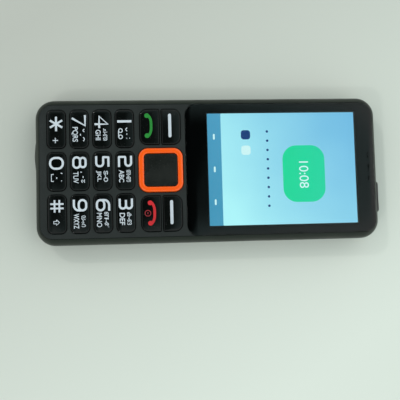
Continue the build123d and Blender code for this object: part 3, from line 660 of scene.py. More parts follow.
class Effects:
    """Surface effects that several finishes use, each a node group built once."""

    made: dict[str, bpy.types.NodeTree] = {}

    @classmethod
    def _new(cls, name: str, inputs: dict[str, float], outputs: Sequence[str]) -> bpy.types.NodeTree:
        """Starts a node group with its named inputs and outputs, all of them values.

        Args:
            name: its name.
            inputs: its inputs' names and what they start with.
            outputs: its outputs' names.

        Returns:
            The node group.
        """
        tree = bpy.data.node_groups.new(name, "ShaderNodeTree")
        for label, value in inputs.items():
            socket = tree.interface.new_socket(label, in_out="INPUT", socket_type="NodeSocketFloat")
            socket.default_value = value
        for label in outputs:
            tree.interface.new_socket(label, in_out="OUTPUT", socket_type="NodeSocketFloat")
        cls.made[name] = tree
        return tree

    @classmethod
    def grain(cls) -> bpy.types.NodeTree:
        """The fine texture of a moulding: a mask for its mottle and a height for its bump.

        Returns:
            The node group.
        """
        if "moulded grain" in cls.made:
            return cls.made["moulded grain"]
        tree = cls._new("moulded grain", {"Cells": 5000.0, "Mottle": 90.0}, ("Mottle", "Height"))
        sheet = Sheet(tree)
        given = sheet.add("NodeGroupInput")
        where = sheet.place()
        cells = sheet.add("ShaderNodeTexVoronoi", {"Vector": where, "Scale": given.outputs["Cells"]})
        mottle = sheet.noise(where, given.outputs["Mottle"], 4.0)
        fine = sheet.noise(where, given.outputs["Cells"], 2.0)
        height = sheet.sums("MULTIPLY", cells.outputs["Distance"], fine)
        sheet.add("NodeGroupOutput", {"Mottle": sheet.spread(mottle, 0.0, 1.0, 0.35, 0.65), "Height": height})
        return tree

    @classmethod
    def wear(cls) -> bpy.types.NodeTree:
        """Edges rubbed by hands and pockets: a mask along the corners of a piece, broken up.

        Returns:
            The node group.
        """
        if "rubbed edges" in cls.made:
            return cls.made["rubbed edges"]
        tree = cls._new("rubbed edges", {"Amount": 0.5, "Patches": 400.0}, ("Rubbed",))
        sheet = Sheet(tree)
        given = sheet.add("NodeGroupInput")
        shape = sheet.add("ShaderNodeNewGeometry")
        edges = sheet.spread(shape.outputs["Pointiness"], 0.0, 1.0, 0.53, 0.62)
        patches = sheet.spread(sheet.noise(sheet.place(), given.outputs["Patches"], 5.0), 0.2, 1.0, 0.4, 0.65)
        rubbed = sheet.sums("MULTIPLY", sheet.sums("MULTIPLY", edges, patches), given.outputs["Amount"])
        sheet.add("NodeGroupOutput", {"Rubbed": rubbed})
        return tree

    @classmethod
    def dust(cls) -> bpy.types.NodeTree:
        """Specks and smears of dust on what faces up: a mask.

        Returns:
            The node group.
        """
        if "settled dust" in cls.made:
            return cls.made["settled dust"]
        tree = cls._new("settled dust", {"Amount": 0.3}, ("Dust", "Smear"))
        sheet = Sheet(tree)
        given = sheet.add("NodeGroupInput")
        shape = sheet.add("ShaderNodeNewGeometry")
        up = sheet.add("ShaderNodeSeparateXYZ", {"Vector": shape.outputs["Normal"]}).outputs["Z"]
        where = sheet.place()
        specks = sheet.spread(sheet.noise(where, 2600.0, 1.0), 0.0, 1.0, 0.70, 0.76)
        smears = sheet.spread(sheet.noise(sheet.place((1.0, 0.45, 1.0)), 55.0, 3.0), 0.0, 1.0, 0.42, 0.72)
        facing = sheet.spread(up, 0.0, 1.0, 0.2, 0.9)
        dusty = sheet.sums("MULTIPLY", facing, given.outputs["Amount"])
        dust, smear = sheet.sums("MULTIPLY", specks, dusty), sheet.sums("MULTIPLY", smears, dusty)
        sheet.add("NodeGroupOutput", {"Dust": dust, "Smear": smear})
        return tree


# How much smoother rubbed places are, and the smoothest that they get
RUBBED_SMOOTHER = 0.15
SMOOTHEST = 0.05
# How much rougher smeared places are
SMEARED_ROUGHER = 0.35
COAT_ROUGHNESS = 0.08
# The near-black of a mesh's holes: painted shade for openings that the solid doesn't have
HOLE_PAINTED_SHADE = (0.004, 0.004, 0.004, 1.0)
UNLIT = (0.01, 0.01, 0.01, 1.0)


@dataclass(frozen=True)
class Finish:
    """A surface: its colours, how it takes light, its texture and its wear."""

    name: str
    slot: Slot
    colour: Colour
    mottled: Colour
    roughness: float = 0.5
    rough_spread: float = 0.06
    metallic: float = 0.0
    ior: float = 1.46
    coat: float = 0.0
    clear: float = 0.0
    grain: float = 5000.0
    mottle: float = 90.0
    bump: float = 0.05
    bump_height: float = 0.00002
    wear: float = 0.0
    worn: Colour = (0.3, 0.3, 0.3, 1.0)
    dust: float = 0.0
    dusty: Colour = (0.42, 0.42, 0.40, 1.0)

    def material(self) -> bpy.types.Material:
        """The finish as a material, built the first time that it is asked for.

        Returns:
            The material.
        """
        if self.name in bpy.data.materials:
            return bpy.data.materials[self.name]
        material, sheet = new_surface(self.name)
        texture = {"Cells": self.grain, "Mottle": self.mottle}
        grain = sheet.add("ShaderNodeGroup", texture, node_tree=Effects.grain())
        colour = sheet.blend(grain.outputs["Mottle"], self.colour, self.mottled)
        smooth = max(self.roughness - self.rough_spread, 0.0)
        coarse = min(self.roughness + self.rough_spread, 1.0)
        rough = sheet.spread(grain.outputs["Mottle"], smooth, coarse, 0.0, 1.0)
        if self.wear:
            wear = sheet.add("ShaderNodeGroup", {"Amount": self.wear}, node_tree=Effects.wear())
            colour = sheet.blend(wear.outputs["Rubbed"], colour, self.worn)
            rubbed = max(self.roughness - RUBBED_SMOOTHER, SMOOTHEST)
            rough = sheet.spread(wear.outputs["Rubbed"], rough, rubbed, 0.0, 1.0)
        if self.dust:
            dust = sheet.add("ShaderNodeGroup", {"Amount": self.dust}, node_tree=Effects.dust())
            colour = sheet.blend(dust.outputs["Dust"], colour, self.dusty)
            smeared = sheet.sums("MULTIPLY", dust.outputs["Smear"], SMEARED_ROUGHER)
            rough = sheet.sums("ADD", rough, smeared)
        values = {
            "Base Color": colour,
            "Roughness": rough,
            "IOR": self.ior,
            "Metallic": self.metallic,
            "Transmission Weight": self.clear,
            "Coat Weight": self.coat,
            "Coat Roughness": COAT_ROUGHNESS,
        }
        if self.bump:
            values["Normal"] = sheet.bump(grain.outputs["Height"], self.bump, self.bump_height)
        sheet.shade(values)
        return material


@dataclass(frozen=True)
class Glow:
    """A lit part of the display: one colour, or a fade along the phone's length."""

    name: str
    foot: Colour
    head: Colour
    foot_y: float
    head_y: float
    slant: float = 0.0
    strength: float = 0.98
    slot: Slot = Slot.DISPLAY

    def material(self) -> bpy.types.Material:
        """The glow as a material, built the first time that it is asked for.

        Returns:
            The material.
        """
        if self.name in bpy.data.materials:
            return bpy.data.materials[self.name]
        material, sheet = new_surface(self.name)
        where = sheet.place()
        parts = sheet.add("ShaderNodeSeparateXYZ", {"Vector": where})
        along = sheet.sums("ADD", parts.outputs["Y"], sheet.sums("MULTIPLY", parts.outputs["X"], self.slant))
        share = sheet.spread(along, 0.0, 1.0, self.foot_y * MM, self.head_y * MM)
        wash = sheet.spread(sheet.noise(where, 30.0, 2.0), -0.08, 0.08, 0.3, 0.7)
        colour = sheet.blend(sheet.sums("ADD", share, wash), self.foot, self.head)
        sheet.shade({
            "Base Color": UNLIT,
            "Roughness": 0.5,
            "Specular IOR Level": 0.0,
            "Emission Color": colour,
            "Emission Strength": self.strength,
        })
        return material


@dataclass(frozen=True)
class Perforated(Finish):
    """A metal mesh: a plate with rows of round holes, drawn by its colour and its bump, the holes painted
    near-black as painted shade.
    """

    pitch: float = 0.45

    def material(self) -> bpy.types.Material:
        """The mesh as a material, built the first time that it is asked for.

        Returns:
            The material.
        """
        if self.name in bpy.data.materials:
            return bpy.data.materials[self.name]
        material, sheet = new_surface(self.name)
        holes = sheet.add(
            "ShaderNodeTexVoronoi",
            {"Vector": sheet.place(), "Scale": 1 / (self.pitch * MM), "Randomness": 0.0},
        ).outputs["Distance"]
        metal = sheet.spread(holes, 0.0, 1.0, 0.28, 0.36)
        # painted shade: the holes are painted near-black in place of real openings
        colour = sheet.blend(metal, HOLE_PAINTED_SHADE, self.colour)
        sheet.shade({
            "Base Color": colour,
            "Metallic": sheet.sums("MULTIPLY", metal, self.metallic),
            "Roughness": sheet.spread(metal, 0.9, self.roughness, 0.0, 1.0),
            "Normal": sheet.bump(metal, 0.6, 0.00005),
        })
        return material


@dataclass(frozen=True)
class Finishes:
    """Every finish of the phone."""

    shell: Finish = Finish(
        "satin shell", Slot.HOUSING, tint(38, 43, 36), tint(33, 38, 32), 0.36, 0.05,
        ior=1.32, grain=6000, bump=0.05, wear=0.4, worn=tint(62, 68, 60), dust=0.08,
    )
    cover: Finish = Finish(
        "grained cover", Slot.COVER, tint(46, 50, 48), tint(40, 44, 42), 0.58, 0.06,
        grain=2600, bump=0.35, bump_height=0.00004, wear=0.5, worn=tint(88, 92, 88), dust=0.2,
    )
    plate: Finish = Finish(
        "matte plate", Slot.PLATE, tint(36, 41, 40), tint(32, 37, 36), 0.62, 0.05,
        ior=1.3, grain=5200, bump=0.12, wear=0.3, worn=tint(54, 59, 57), dust=0.06,
    )
    lens: Finish = Finish(
        "clear lens", Slot.LENS, (1, 1, 1, 1), (0.985, 0.99, 0.99, 1), 0.02, 0.012,
        ior=1.4, clear=1.0, bump=0.0, mottle=60.0, dust=0.12,
    )
    border: Finish = Finish(
        "printed border", Slot.BORDER, tint(13, 19, 15), tint(16, 22, 18), 0.4, 0.05,
        ior=1.25, bump=0.02,
    )
    glass: Finish = Finish(
        "display glass", Slot.DISPLAY, tint(8, 12, 16), tint(12, 18, 24), 0.08, 0.03, bump=0.01
    )
    diffuser: Finish = Finish(
        "white diffuser", Slot.DIFFUSER, tint(214, 216, 214), tint(200, 204, 202), 0.55, bump=0.1
    )
    steel: Finish = Finish(
        "pressed steel", Slot.STEEL, tint(176, 176, 172), tint(150, 150, 148), 0.32, 0.08,
        metallic=1.0, grain=3000, bump=0.15, wear=0.4, worn=tint(215, 215, 210),
    )
    flex: Finish = Finish(
        "flex film", Slot.FLEX, tint(158, 92, 30), tint(132, 74, 24), 0.38, 0.06, bump=0.05
    )
    black: Finish = Finish(
        "black plastic", Slot.BLACK, tint(22, 23, 24), tint(15, 16, 17), 0.5, 0.06,
        grain=4000, bump=0.2, wear=0.5, worn=tint(60, 62, 64),
    )
    mesh: Perforated = Perforated(
        "fine mesh", Slot.MESH, tint(96, 98, 98), tint(96, 98, 98), 0.4, metallic=0.9
    )
    silicone: Finish = Finish(
        "silicone mat", Slot.SILICONE, tint(206, 207, 206), tint(192, 194, 194), 0.6, bump=0.12
    )
    board: Finish = Finish(
        "board lacquer", Slot.BOARD, tint(16, 66, 38), tint(12, 52, 32), 0.34, 0.08,
        grain=900, bump=0.2, mottle=300,
    )
    wrap: Finish = Finish(
        "battery wrap", Slot.WRAP, tint(208, 210, 213), tint(196, 199, 203), 0.42, 0.08,
        grain=1400, bump=0.12, wear=0.5, worn=tint(150, 152, 156), dust=0.1,
    )
    gold: Finish = Finish(
        "gold contact", Slot.GOLD, tint(232, 184, 92), tint(205, 160, 80), 0.24, 0.08,
        metallic=1.0, bump=0.05,
    )
    key: Finish = Finish(
        "gloss key", Slot.KEY, tint(6, 8, 7), tint(8, 10, 9), 0.12, 0.03,
        ior=1.34, grain=3800, bump=0.012, wear=0.2, worn=tint(40, 44, 42), dust=0.06,
    )
    ink: Finish = Finish(
        "white legend ink", Slot.KEY, tint(204, 212, 220), tint(192, 200, 208), 0.5, bump=0.05
    )
    green_ink: Finish = Finish(
        "green legend ink", Slot.KEY, tint(14, 142, 42), tint(10, 128, 36), 0.5, bump=0.05
    )
    red_ink: Finish = Finish(
        "red legend ink", Slot.KEY, tint(206, 22, 34), tint(186, 18, 28), 0.5, bump=0.05
    )
    dim_red_ink: Finish = Finish(
        "dim red legend ink", Slot.KEY, tint(150, 22, 34), tint(140, 18, 30), 0.5, bump=0.05
    )
    ok: Finish = Finish(
        "satin OK key", Slot.OK, tint(18, 20, 17), tint(26, 28, 25), 0.26, 0.06,
        ior=1.36, grain=3800, mottle=120, bump=0.03, wear=0.25, worn=tint(56, 60, 58), dust=0.1,
    )
    ring: Finish = Finish(
        "orange lacquer", Slot.RING, tint(255, 94, 2), tint(248, 88, 1), 0.24, 0.05,
        ior=1.42, coat=0.5, grain=3600, bump=0.02, wear=0.2, worn=tint(250, 120, 40), dust=0.05,
    )
    torch: Finish = Finish(
        "smoked torch window", Slot.TORCH, tint(14, 15, 16), tint(20, 21, 22), 0.14, 0.04,
        ior=1.5, grain=3000, bump=0.02, wear=0.4, worn=tint(60, 62, 62),
    )
    lamp: Finish = Finish(
        "lamp", Slot.LAMP, tint(226, 214, 120), tint(214, 200, 104), 0.3, bump=0.05
    )
    camera: Finish = Finish(
        "camera glass", Slot.CAMERA, tint(10, 11, 16), tint(16, 17, 24), 0.05, 0.02,
        ior=1.52, coat=0.6, bump=0.0,
    )


FINISH = Finishes()


# Sub-assemblies


@dataclass
class FrontShell:
    """The front housing: a rounded rim round the face, over a deck with its windows."""

    low: float = 6.6
    crest: float = 13.1
    deck_low: float = 11.3
    deck_top: float = 12.0
    radius: float = 5.0
    rim_side: float = 2.3
    rim_end: float = 1.725
    wall: float = 1.4
    corner: float = 7.2
    lip: float = 0.12
    lip_above: float = 0.3
    seam_edge: float = 0.12
    swell_half: float = 5.4
    swell_root: float = 1.6
    swell_proud: float = 0.46
    swell_fade: float = 2.4
    swell_bulge: float = 0.9
    swell_sliver: float = 0.02
    swell_columns: int = 18
    swell_stages: int = 8
    crossbar_low: float = -9.775
    key_inset: float = 1.0
    key_head_corner: float = 0.5
    frame_gap: float = 0.2
    hole_gap: float = 0.1
    jack_radius: float = 2.4
    jack_level: float = 6.3
    hole_deep: float = 3.0
    sound_slot: Sequence[float] = (11.0, 2.2, 1.05)
    rim_low: float = field(init=False)

    def __post_init__(self) -> None:
        """Works out where the round of the rim starts."""
        self.rim_low = self.crest - math.sqrt(self.radius**2 - (self.radius - self.rim_side) ** 2)

    def build(self) -> None:
        """Makes the shell, its swell and its openings, and fits it."""
        low, high = span("front_housing")
        usb = middle("usb_socket")
        end_y = span("rear_housing")[1].y
        plan = Plan(high.x - low.x, 2 * end_y, self.corner, steps=20)
        face_size = (plan.width - 2 * self.rim_side, 2 * (end_y - self.rim_end))
        face = Plan(*face_size, self.corner - self.rim_side, steps=16)
        shell = plan.block("front_shell", self.low + self.seam_edge, self.rim_low)
        with editing(shell):
            choose_faces(shell, faces_up(self.rim_low))
            round_over(self.radius, 18)
            choose_faces(shell, faces_down(self.low + self.seam_edge))
            step_in(self.seam_edge, self.seam_edge)
            step_in(self.wall - self.seam_edge, 0.0)
            draw_out(self.deck_low - self.low)
        carve(shell, self._swell(usb.x, end_y), Cut.ON)
        carve(shell, face.block("recess", self.deck_top, self.rim_low + self.radius + OVERRUN))
        self._soften_rim(shell)
        self._cut_windows(shell, face, end_y)
        weld(shell)
        fit_piece(shell, "phone", FINISH.shell, ("front_housing",), smooth=24)

    def _soften_rim(self, shell: bpy.types.Object) -> None:
        """Rounds the rim's inner edge, where it drops to the face.

        Args:
            shell: the shell.
        """
        with editing(shell, "EDGE"):
            choose_edges(shell, self._inner_edge)
            bevel_edges(self.lip, 3)

    def _inner_edge(self, edge: bmesh.types.BMEdge) -> bool:
        """Whether an edge lies between the round of the rim and the wall that drops to the deck.

        Args:
            edge: the edge.

        Returns:
            Whether it does.
        """
        if len(edge.link_faces) != 2:
            return False
        tilts = sorted(face.normal.z for face in edge.link_faces)
        high_up = min(vert.co.z for vert in edge.verts) > self.deck_top + self.lip_above
        return high_up and abs(tilts[0]) < UPRIGHT and tilts[1] > SLOPING

    def _drawn_in(self, height: float) -> float:
        """How far the round of the rim has drawn in, this far above where it starts."""
        return self.radius - math.sqrt(self.radius**2 - max(height, 0.0) ** 2)

    def _swell(self, across: float, end_y: float) -> bpy.types.Object:
        """The arched swell on the bottom end, which fades into the rim.

        Args:
            across: where its middle lies on X.
            end_y: how far the shell's ends lie from the middle.

        Returns:
            The piece.
        """
        columns, stages, sliver = self.swell_columns, self.swell_stages, self.swell_sliver
        # the swell starts a sliver over the shell's underside, and sinks as far where it would end on the wall
        foot = self.low + sliver
        levels = [foot] + [self.rim_low + self.swell_fade * stage / stages for stage in range(stages + 1)]
        front, back = -end_y - self.swell_proud, self.swell_root - end_y
        left, right = across - self.swell_half, across + self.swell_half
        swell = brick("swell", (left, front, foot), (right, back, levels[-1]))
        with editing(swell, "EDGE"):
            choose_edges(swell, lambda edge: abs(edge.verts[0].co.x - edge.verts[1].co.x) > LONG)
            bpy.ops.mesh.subdivide(number_cuts=columns - 1)
        with editing(swell):
            for level in levels[1:-1]:
                bpy.ops.mesh.select_all(action="SELECT")
                bpy.ops.mesh.bisect(plane_co=(0, 0, level), plane_no=(0, 0, 1))
        with editing(swell, "VERT"):
            for column in range(columns + 1):
                share = column / columns * 2 - 1
                for level in levels:
                    height = max(level - self.rim_low, 0.0)
                    keep = math.cos(height / self.swell_fade * math.pi / 2)
                    proud = self.swell_proud * keep * math.cos(share * math.pi / 2) ** self.swell_bulge
                    sunk = sliver if proud < sliver else 0.0
                    choose_verts(
                        swell,
                        lambda at: abs(at.x - across - share * self.swell_half) < NEAR
                        and abs(at.z - level) < NEAR
                        and at.y < front + NEAR,
                    )
                    move = self.swell_proud - proud + self._drawn_in(height) + sunk
                    bpy.ops.transform.translate(value=(0, move, 0))
        weld(swell)
        return swell

    def _cut_windows(self, shell: bpy.types.Object, face: Plan, end_y: float) -> None:
        """Opens the deck over the display, the keys and the earpiece, and the walls for the sockets.

        Args:
            shell: the shell.
            face: the plan of the recess that holds the plate.
            end_y: how far the shell's ends lie from the middle.
        """
        through = (self.deck_low - OVERRUN, self.deck_top + OVERRUN)
        self._clear(shell, "window", "lcd_frame", self.frame_gap, 2, through)
        pad_low, pad_high = face.along - face.length / 2 + self.key_inset, self.crossbar_low
        pad_size = (face.width - 2 * self.key_inset, pad_high - pad_low)
        corners = (face.corner - self.key_inset, self.key_head_corner)
        keys = Plan(*pad_size, *corners, along=(pad_low + pad_high) / 2)
        carve(shell, keys.block("key window", *through))
        ear = middle("earpiece_mesh")
        slot = Plan(*self.sound_slot, across=ear.x, along=ear.y)
        carve(shell, slot.block("sound slot", *through))
        jack_low, jack_high = span("audio_jack")
        jack = ((jack_low.x + jack_high.x) / 2, end_y, self.jack_level)
        carve(shell, drum("jack hole", self.jack_radius, 2 * self.hole_deep, jack, (90, 0)))
        inner, outer = end_y - self.hole_deep, end_y + OVERRUN
        self._clear(shell, "torch hole", "torch_lens", self.hole_gap, 1, (inner, outer))
        self._clear(shell, "usb hole", "usb_socket", self.hole_gap, 1, (-outer, -inner))

    def _clear(
        self, shell: bpy.types.Object, name: str, node: str, gap: float, axis: int, reach: Point
    ) -> None:
        """Cuts a square hole that clears a solid.

        Args:
            shell: the shell.
            name: the name of the cutter.
            node: the solid.
            gap: how far the hole clears it on each side.
            axis: the axis that the hole runs along, 1 for Y and 2 for Z.
            reach: where it starts and ends on that axis.
        """
        low, high = span(node)
        start, end = [at - gap for at in low], [at + gap for at in high]
        start[axis], end[axis] = reach
        carve(shell, brick(name, start, end))


@dataclass
class RearShell:
    """The rear housing, from its solid, with smooth corners."""

    def build(self) -> None:
        """Takes the solid over with smooth shading."""
        shell = from_solid("rear_housing", "rear_shell")
        fit_piece(shell, "phone", FINISH.shell, ("rear_housing",), smooth=25)


@dataclass
class BackCover:
    """The battery cover: a tray with rounded edges, its slots, its notch and its tabs."""

    height: float = 3.6
    floor: float = 1.2
    radius: float = 3.2
    wall: float = 1.2
    corner: float = 7.2
    edge: float = 0.1
    camera_radius: float = 4.55
    sound_slot: Sequence[float] = (1.0, 7.0, 0.48)
    slot_pitch: float = 2.4
    notch_half: float = 6.0
    notch_low: float = 2.4
    notch_deep: float = 0.7
    tab_places: Sequence[float] = (-38, 0, 38)
    tab_half: float = 4.0
    tab_low: float = 3.0
    tab_proud: float = 0.55

    def build(self) -> None:
        """Makes the cover and fits it."""
        low, high = span("battery_cover")
        plan = Plan(high.x - low.x, high.y - low.y, self.corner, steps=20)
        cover = plan.block("back_cover", self.radius, self.height - self.edge)
        with editing(cover):
            choose_faces(cover, faces_down(self.radius))
            round_over(self.radius, 12)
            choose_faces(cover, faces_up(self.height - self.edge))
            step_in(self.edge, self.edge)
            step_in(self.wall - self.edge, 0.0)
            draw_out(self.floor - self.height)
        window = middle("camera_window")
        window.z = self.floor / 2
        carve(cover, drum("camera hole", self.camera_radius, self.floor + 2 * OVERRUN, window, sides=64))
        speaker = middle("loudspeaker")
        for index in range(-2, 3):
            slot = Plan(*self.sound_slot, across=index * self.slot_pitch, along=speaker.y, steps=8)
            carve(cover, slot.block("sound slot", -OVERRUN, self.floor + OVERRUN))
        notch_low = (-self.notch_half, low.y - OVERRUN, self.notch_low)
        notch_high = (self.notch_half, low.y + self.notch_deep, self.height + OVERRUN)
        carve(cover, brick("notch", notch_low, notch_high))
        side = high.x - self.wall
        battery = middle("battery")
        for place in self.tab_places:
            start, end = battery.y + place - self.tab_half, battery.y + place + self.tab_half
            for hand in (-1, 1):
                inner, outer = sorted((hand * side, hand * (side + self.tab_proud)))
                carve(cover, brick("tab", (inner, start, self.tab_low), (outer, end, high.z)), Cut.ON)
        weld(cover)
        fit_piece(cover, "battery_cover", FINISH.cover, ("battery_cover",), smooth=24)


@dataclass
class FacePlate:
    """The dark plate round the keys, with a softened opening for each."""

    low: float = 12.0
    top: float = 13.2
    corner: float = 4.75
    edge: float = 0.12
    gap: float = 0.2
    lens_gap: float = 0.15
    lens_corners: Sequence[float] = (4.5, 4.9)

    def build(self, openings: Sequence[Plan]) -> None:
        """Makes the plate.

        Args:
            openings: the plans of the keys and the ring, which the plate clears.
        """
        low, high = span("face_plate")
        lens_low, lens_high = span("display_lens")
        full = (high.x - low.x, lens_high.y - low.y)
        plan = Plan(*full, self.corner, along=(low.y + lens_high.y) / 2, steps=16)
        plate = plan.block("keypad_plate", self.low, self.top - self.edge)
        with editing(plate):
            choose_faces(plate, faces_up(self.top - self.edge))
            round_over(self.edge, 2)
        room, along = 2 * self.lens_gap, (lens_low.y + lens_high.y) / 2
        lens_size = (lens_high.x - lens_low.x + room, lens_high.y - lens_low.y + room)
        lens = Plan(*lens_size, *self.lens_corners, along=along, steps=16)
        carve(plate, self._flared(lens))
        for opening in openings:
            carve(plate, self._flared(opening.grown(self.gap)))
        weld(plate)
        fit_piece(plate, "phone", FINISH.plate, ("face_plate",), smooth=32)

    def _flared(self, opening: Plan) -> bpy.types.Object:
        """A cutter for one opening, a little wider at the plate's top.

        Args:
            opening: the plan of the opening lower down.

        Returns:
            The cutter.
        """
        cutter = opening.grown(self.edge).block("opening", self.top, self.top + OVERRUN)
        with editing(cutter):
            choose_faces(cutter, faces_down(self.top))
            step_in(self.edge, self.edge)
            draw_out(self.low - self.top - OVERRUN)
        return cutter


@dataclass
class DisplayLens:
    """The clear lens over the display, rounded at its upper edge, with three sound holes."""

    edge: float = 0.16
    corners: Sequence[float] = (4.35, 4.75)
    sound_hole: Sequence[float] = (1.7, 0.5, 0.24)
    hole_pitch: float = 4.5

    def build(self) -> None:
        """Makes the lens and fits it."""
        low, high = span("display_lens")
        size = (high.x - low.x, high.y - low.y)
        plan = Plan(*size, *self.corners, along=(low.y + high.y) / 2, steps=18)
        lens = plan.block("display_window", low.z, high.z - self.edge)
        with editing(lens):
            choose_faces(lens, faces_up(high.z - self.edge))
            round_over(self.edge, 4)
        ear = middle("earpiece_mesh")
        for index in (-1, 0, 1):
            hole = Plan(*self.sound_hole, across=self.hole_pitch * index, along=ear.y, steps=6)
            carve(lens, hole.block("sound hole", low.z - OVERRUN, high.z + OVERRUN))
        weld(lens)
        fit_piece(lens, "phone", FINISH.lens, ("display_lens",), smooth=30)


@dataclass
class Picture:
    """A plain home screen on the lit display: a wash of blue, a clock card and marks."""

    level: float = 11.82
    thickness: float = 0.02
    width: float = 43.2
    foot: float = -0.575
    head: float = 57.025
    band_head: float = 4.65

    def build(self) -> None:
        """Makes the picture and fits it."""
        wash = Glow("screen wash", tint(176, 250, 255), tint(104, 184, 228), -6.0, 70.0, -0.6)
        band = Glow("screen band", tint(62, 150, 186), tint(76, 160, 198), -30.0, 30.0, -1.0)
        green = Glow("screen green", tint(0, 222, 148), tint(0, 214, 160), 20.0, 45.0)
        navy = Glow("screen navy", tint(0, 54, 118), tint(0, 58, 122), 10.0, 40.0)
        white = Glow("screen white", tint(206, 250, 250), tint(214, 252, 252), 0.0, 57.0)
        grounds = (("field", self.band_head, self.head, wash), ("band", self.foot, self.band_head, band))
        for name, start, end, glow in grounds:
            ground = Plan(self.width, end - start, 0.3, along=(end + start) / 2)
            self._card(f"screen_{name}", ground, 0, glow)
        self._card("screen_clock_card", Plan(22.0, 16.5, 5.4, across=2.2, along=36.6), 1, green)
        clock_low = self.level + 2 * self.thickness
        clock = figures("screen_clock", "10:08", 5.2, (2.2, 34.8), clock_low, self.thickness / 2)
        fit_piece(clock, "phone", white)
        for index in range(9):
            dot = Plan(0.95, 0.95, 0.45, across=-14.4 + 3.6 * index, along=22.6)
            self._card(f"screen_dot_{index}", dot, 1, navy)
        for name, across, glow in (("navy", -13.2, navy), ("white", -7.2, white)):
            self._card(f"screen_tile_{name}", Plan(3.6, 3.6, 1.1, across=across, along=14.2), 1, glow)
        for index, across in enumerate((-12.6, 0.0, 12.6)):
            self._card(f"screen_mark_{index}", Plan(2.2, 0.7, 0.33, across=across, along=1.9), 1, white)

    def _card(self, name: str, plan: Plan, layer: int, glow: Glow) -> None:
        """Lays one flat shape on the picture, on its layer."""
        low = self.level + layer * self.thickness
        fit_piece(plan.block(name, low, low + self.thickness), "phone", glow)


# How tall the letters on the keys are set before they are fitted to their room, and how bold
LETTER_SIZE = 2.8
LETTER_BOLD = 0.04
# How many flats make up a bow of a letter
LETTER_STEPS = 5


def figures(
    name: str, text: str, size: float, place: Point, level: float, depth: float, bold: float = 0.0
) -> bpy.types.Object:
    """Sets letters or digits as a thin solid.

    Args:
        name: the name of the piece.
        text: what it says.
        size: the height of the type.
        place: the middle of its baseline.
        level: the height that it lies at.
        depth: its thickness.
        bold: by how much its strokes are thickened.

    Returns:
        The piece.
    """
    bpy.ops.object.select_all(action="DESELECT")
    bpy.ops.object.text_add(location=(0, 0, 0))
    words = bpy.context.object
    words.data.body = text
    words.data.size = size
    words.data.align_x = "CENTER"
    words.data.offset = bold
    words.data.extrude = depth / 2
    words.data.resolution_u = LETTER_STEPS
    bpy.ops.object.convert(target="MESH")
    words = bpy.context.object
    words.name = words.data.name = name
    words.data.transform(Matrix.Translation((*place, level + depth / 2)))
    weld(words)
    return words


def words_in_room(
    name: str, text: str, room: tuple[Point, Point], level: float, depth: float
) -> bpy.types.Object:
    """Sets letters so that they just fill a room on a key.

    Args:
        name: the name of the piece.
        text: what it says.
        room: the room's lower left and upper right corners.
        level: the height that it lies at.
        depth: its thickness.

    Returns:
        The piece.
    """
    words = figures(name, text, LETTER_SIZE, (0, 0), level, depth, LETTER_BOLD)
    corners = [Vector(corner) for corner in words.bound_box]
    low = Vector((min(at.x for at in corners), min(at.y for at in corners), 0))
    high = Vector((max(at.x for at in corners), max(at.y for at in corners), 0))
    if "Q" in text:
        # its tail hangs below the room, so the baseline is what stands on it
        low.y = 0.0
    start, end = Vector((*room[0], 0)), Vector((*room[1], 0))
    wider, taller = (end.x - start.x) / (high.x - low.x), (end.y - start.y) / (high.y - low.y)
    stretch = Matrix.Diagonal((wider, taller, 1, 1))
    words.data.transform(Matrix.Translation(start) @ stretch @ Matrix.Translation(-low))
    return words


# Legends


# How many flats make up a rounded corner of a line, and the angles that make up a stroke's round end
BOW_STEPS = 8
END_ANGLES = (25, 50, 72, 88)
# How finely the pen itself is rounded
PEN_STEPS = 3
# Strokes lie on so many levels, each this much over the one before, so that none coincide where they cross
STROKE_LEVELS = 4
STROKE_STEP = 0.003


def bowed(points: Path, radii: Sequence[float], closed: bool = False) -> Path:
    """Rounds the corners of a line.

    Args:
        points: the corners in order.
        radii: the radius at each corner, 0 where it stays sharp.
        closed: whether the last point joins the first.

    Returns:
        The line's points.
    """
    result: Path = []
    count = len(points)
    for index, (point, radius) in enumerate(zip(points, radii)):
        at_end = not closed and index in (0, count - 1)
        if at_end or radius <= 0:
            result.append(point)
            continue
        here = Vector(point)
        before = (Vector(points[index - 1]) - here).normalized()
        after = (Vector(points[(index + 1) % count]) - here).normalized()
        half = before.angle(after) / 2
        reach = radius / math.tan(half)
        centre = here + (before + after).normalized() * radius / math.sin(half)
        start, end = here + before * reach - centre, here + after * reach - centre
        sweep = start.angle_signed(end)
        for step in range(BOW_STEPS + 1):
            turned = start.copy()
            turned.rotate(Matrix.Rotation(-sweep * step / BOW_STEPS, 2))
            result.append(tuple(centre + turned))
    return result


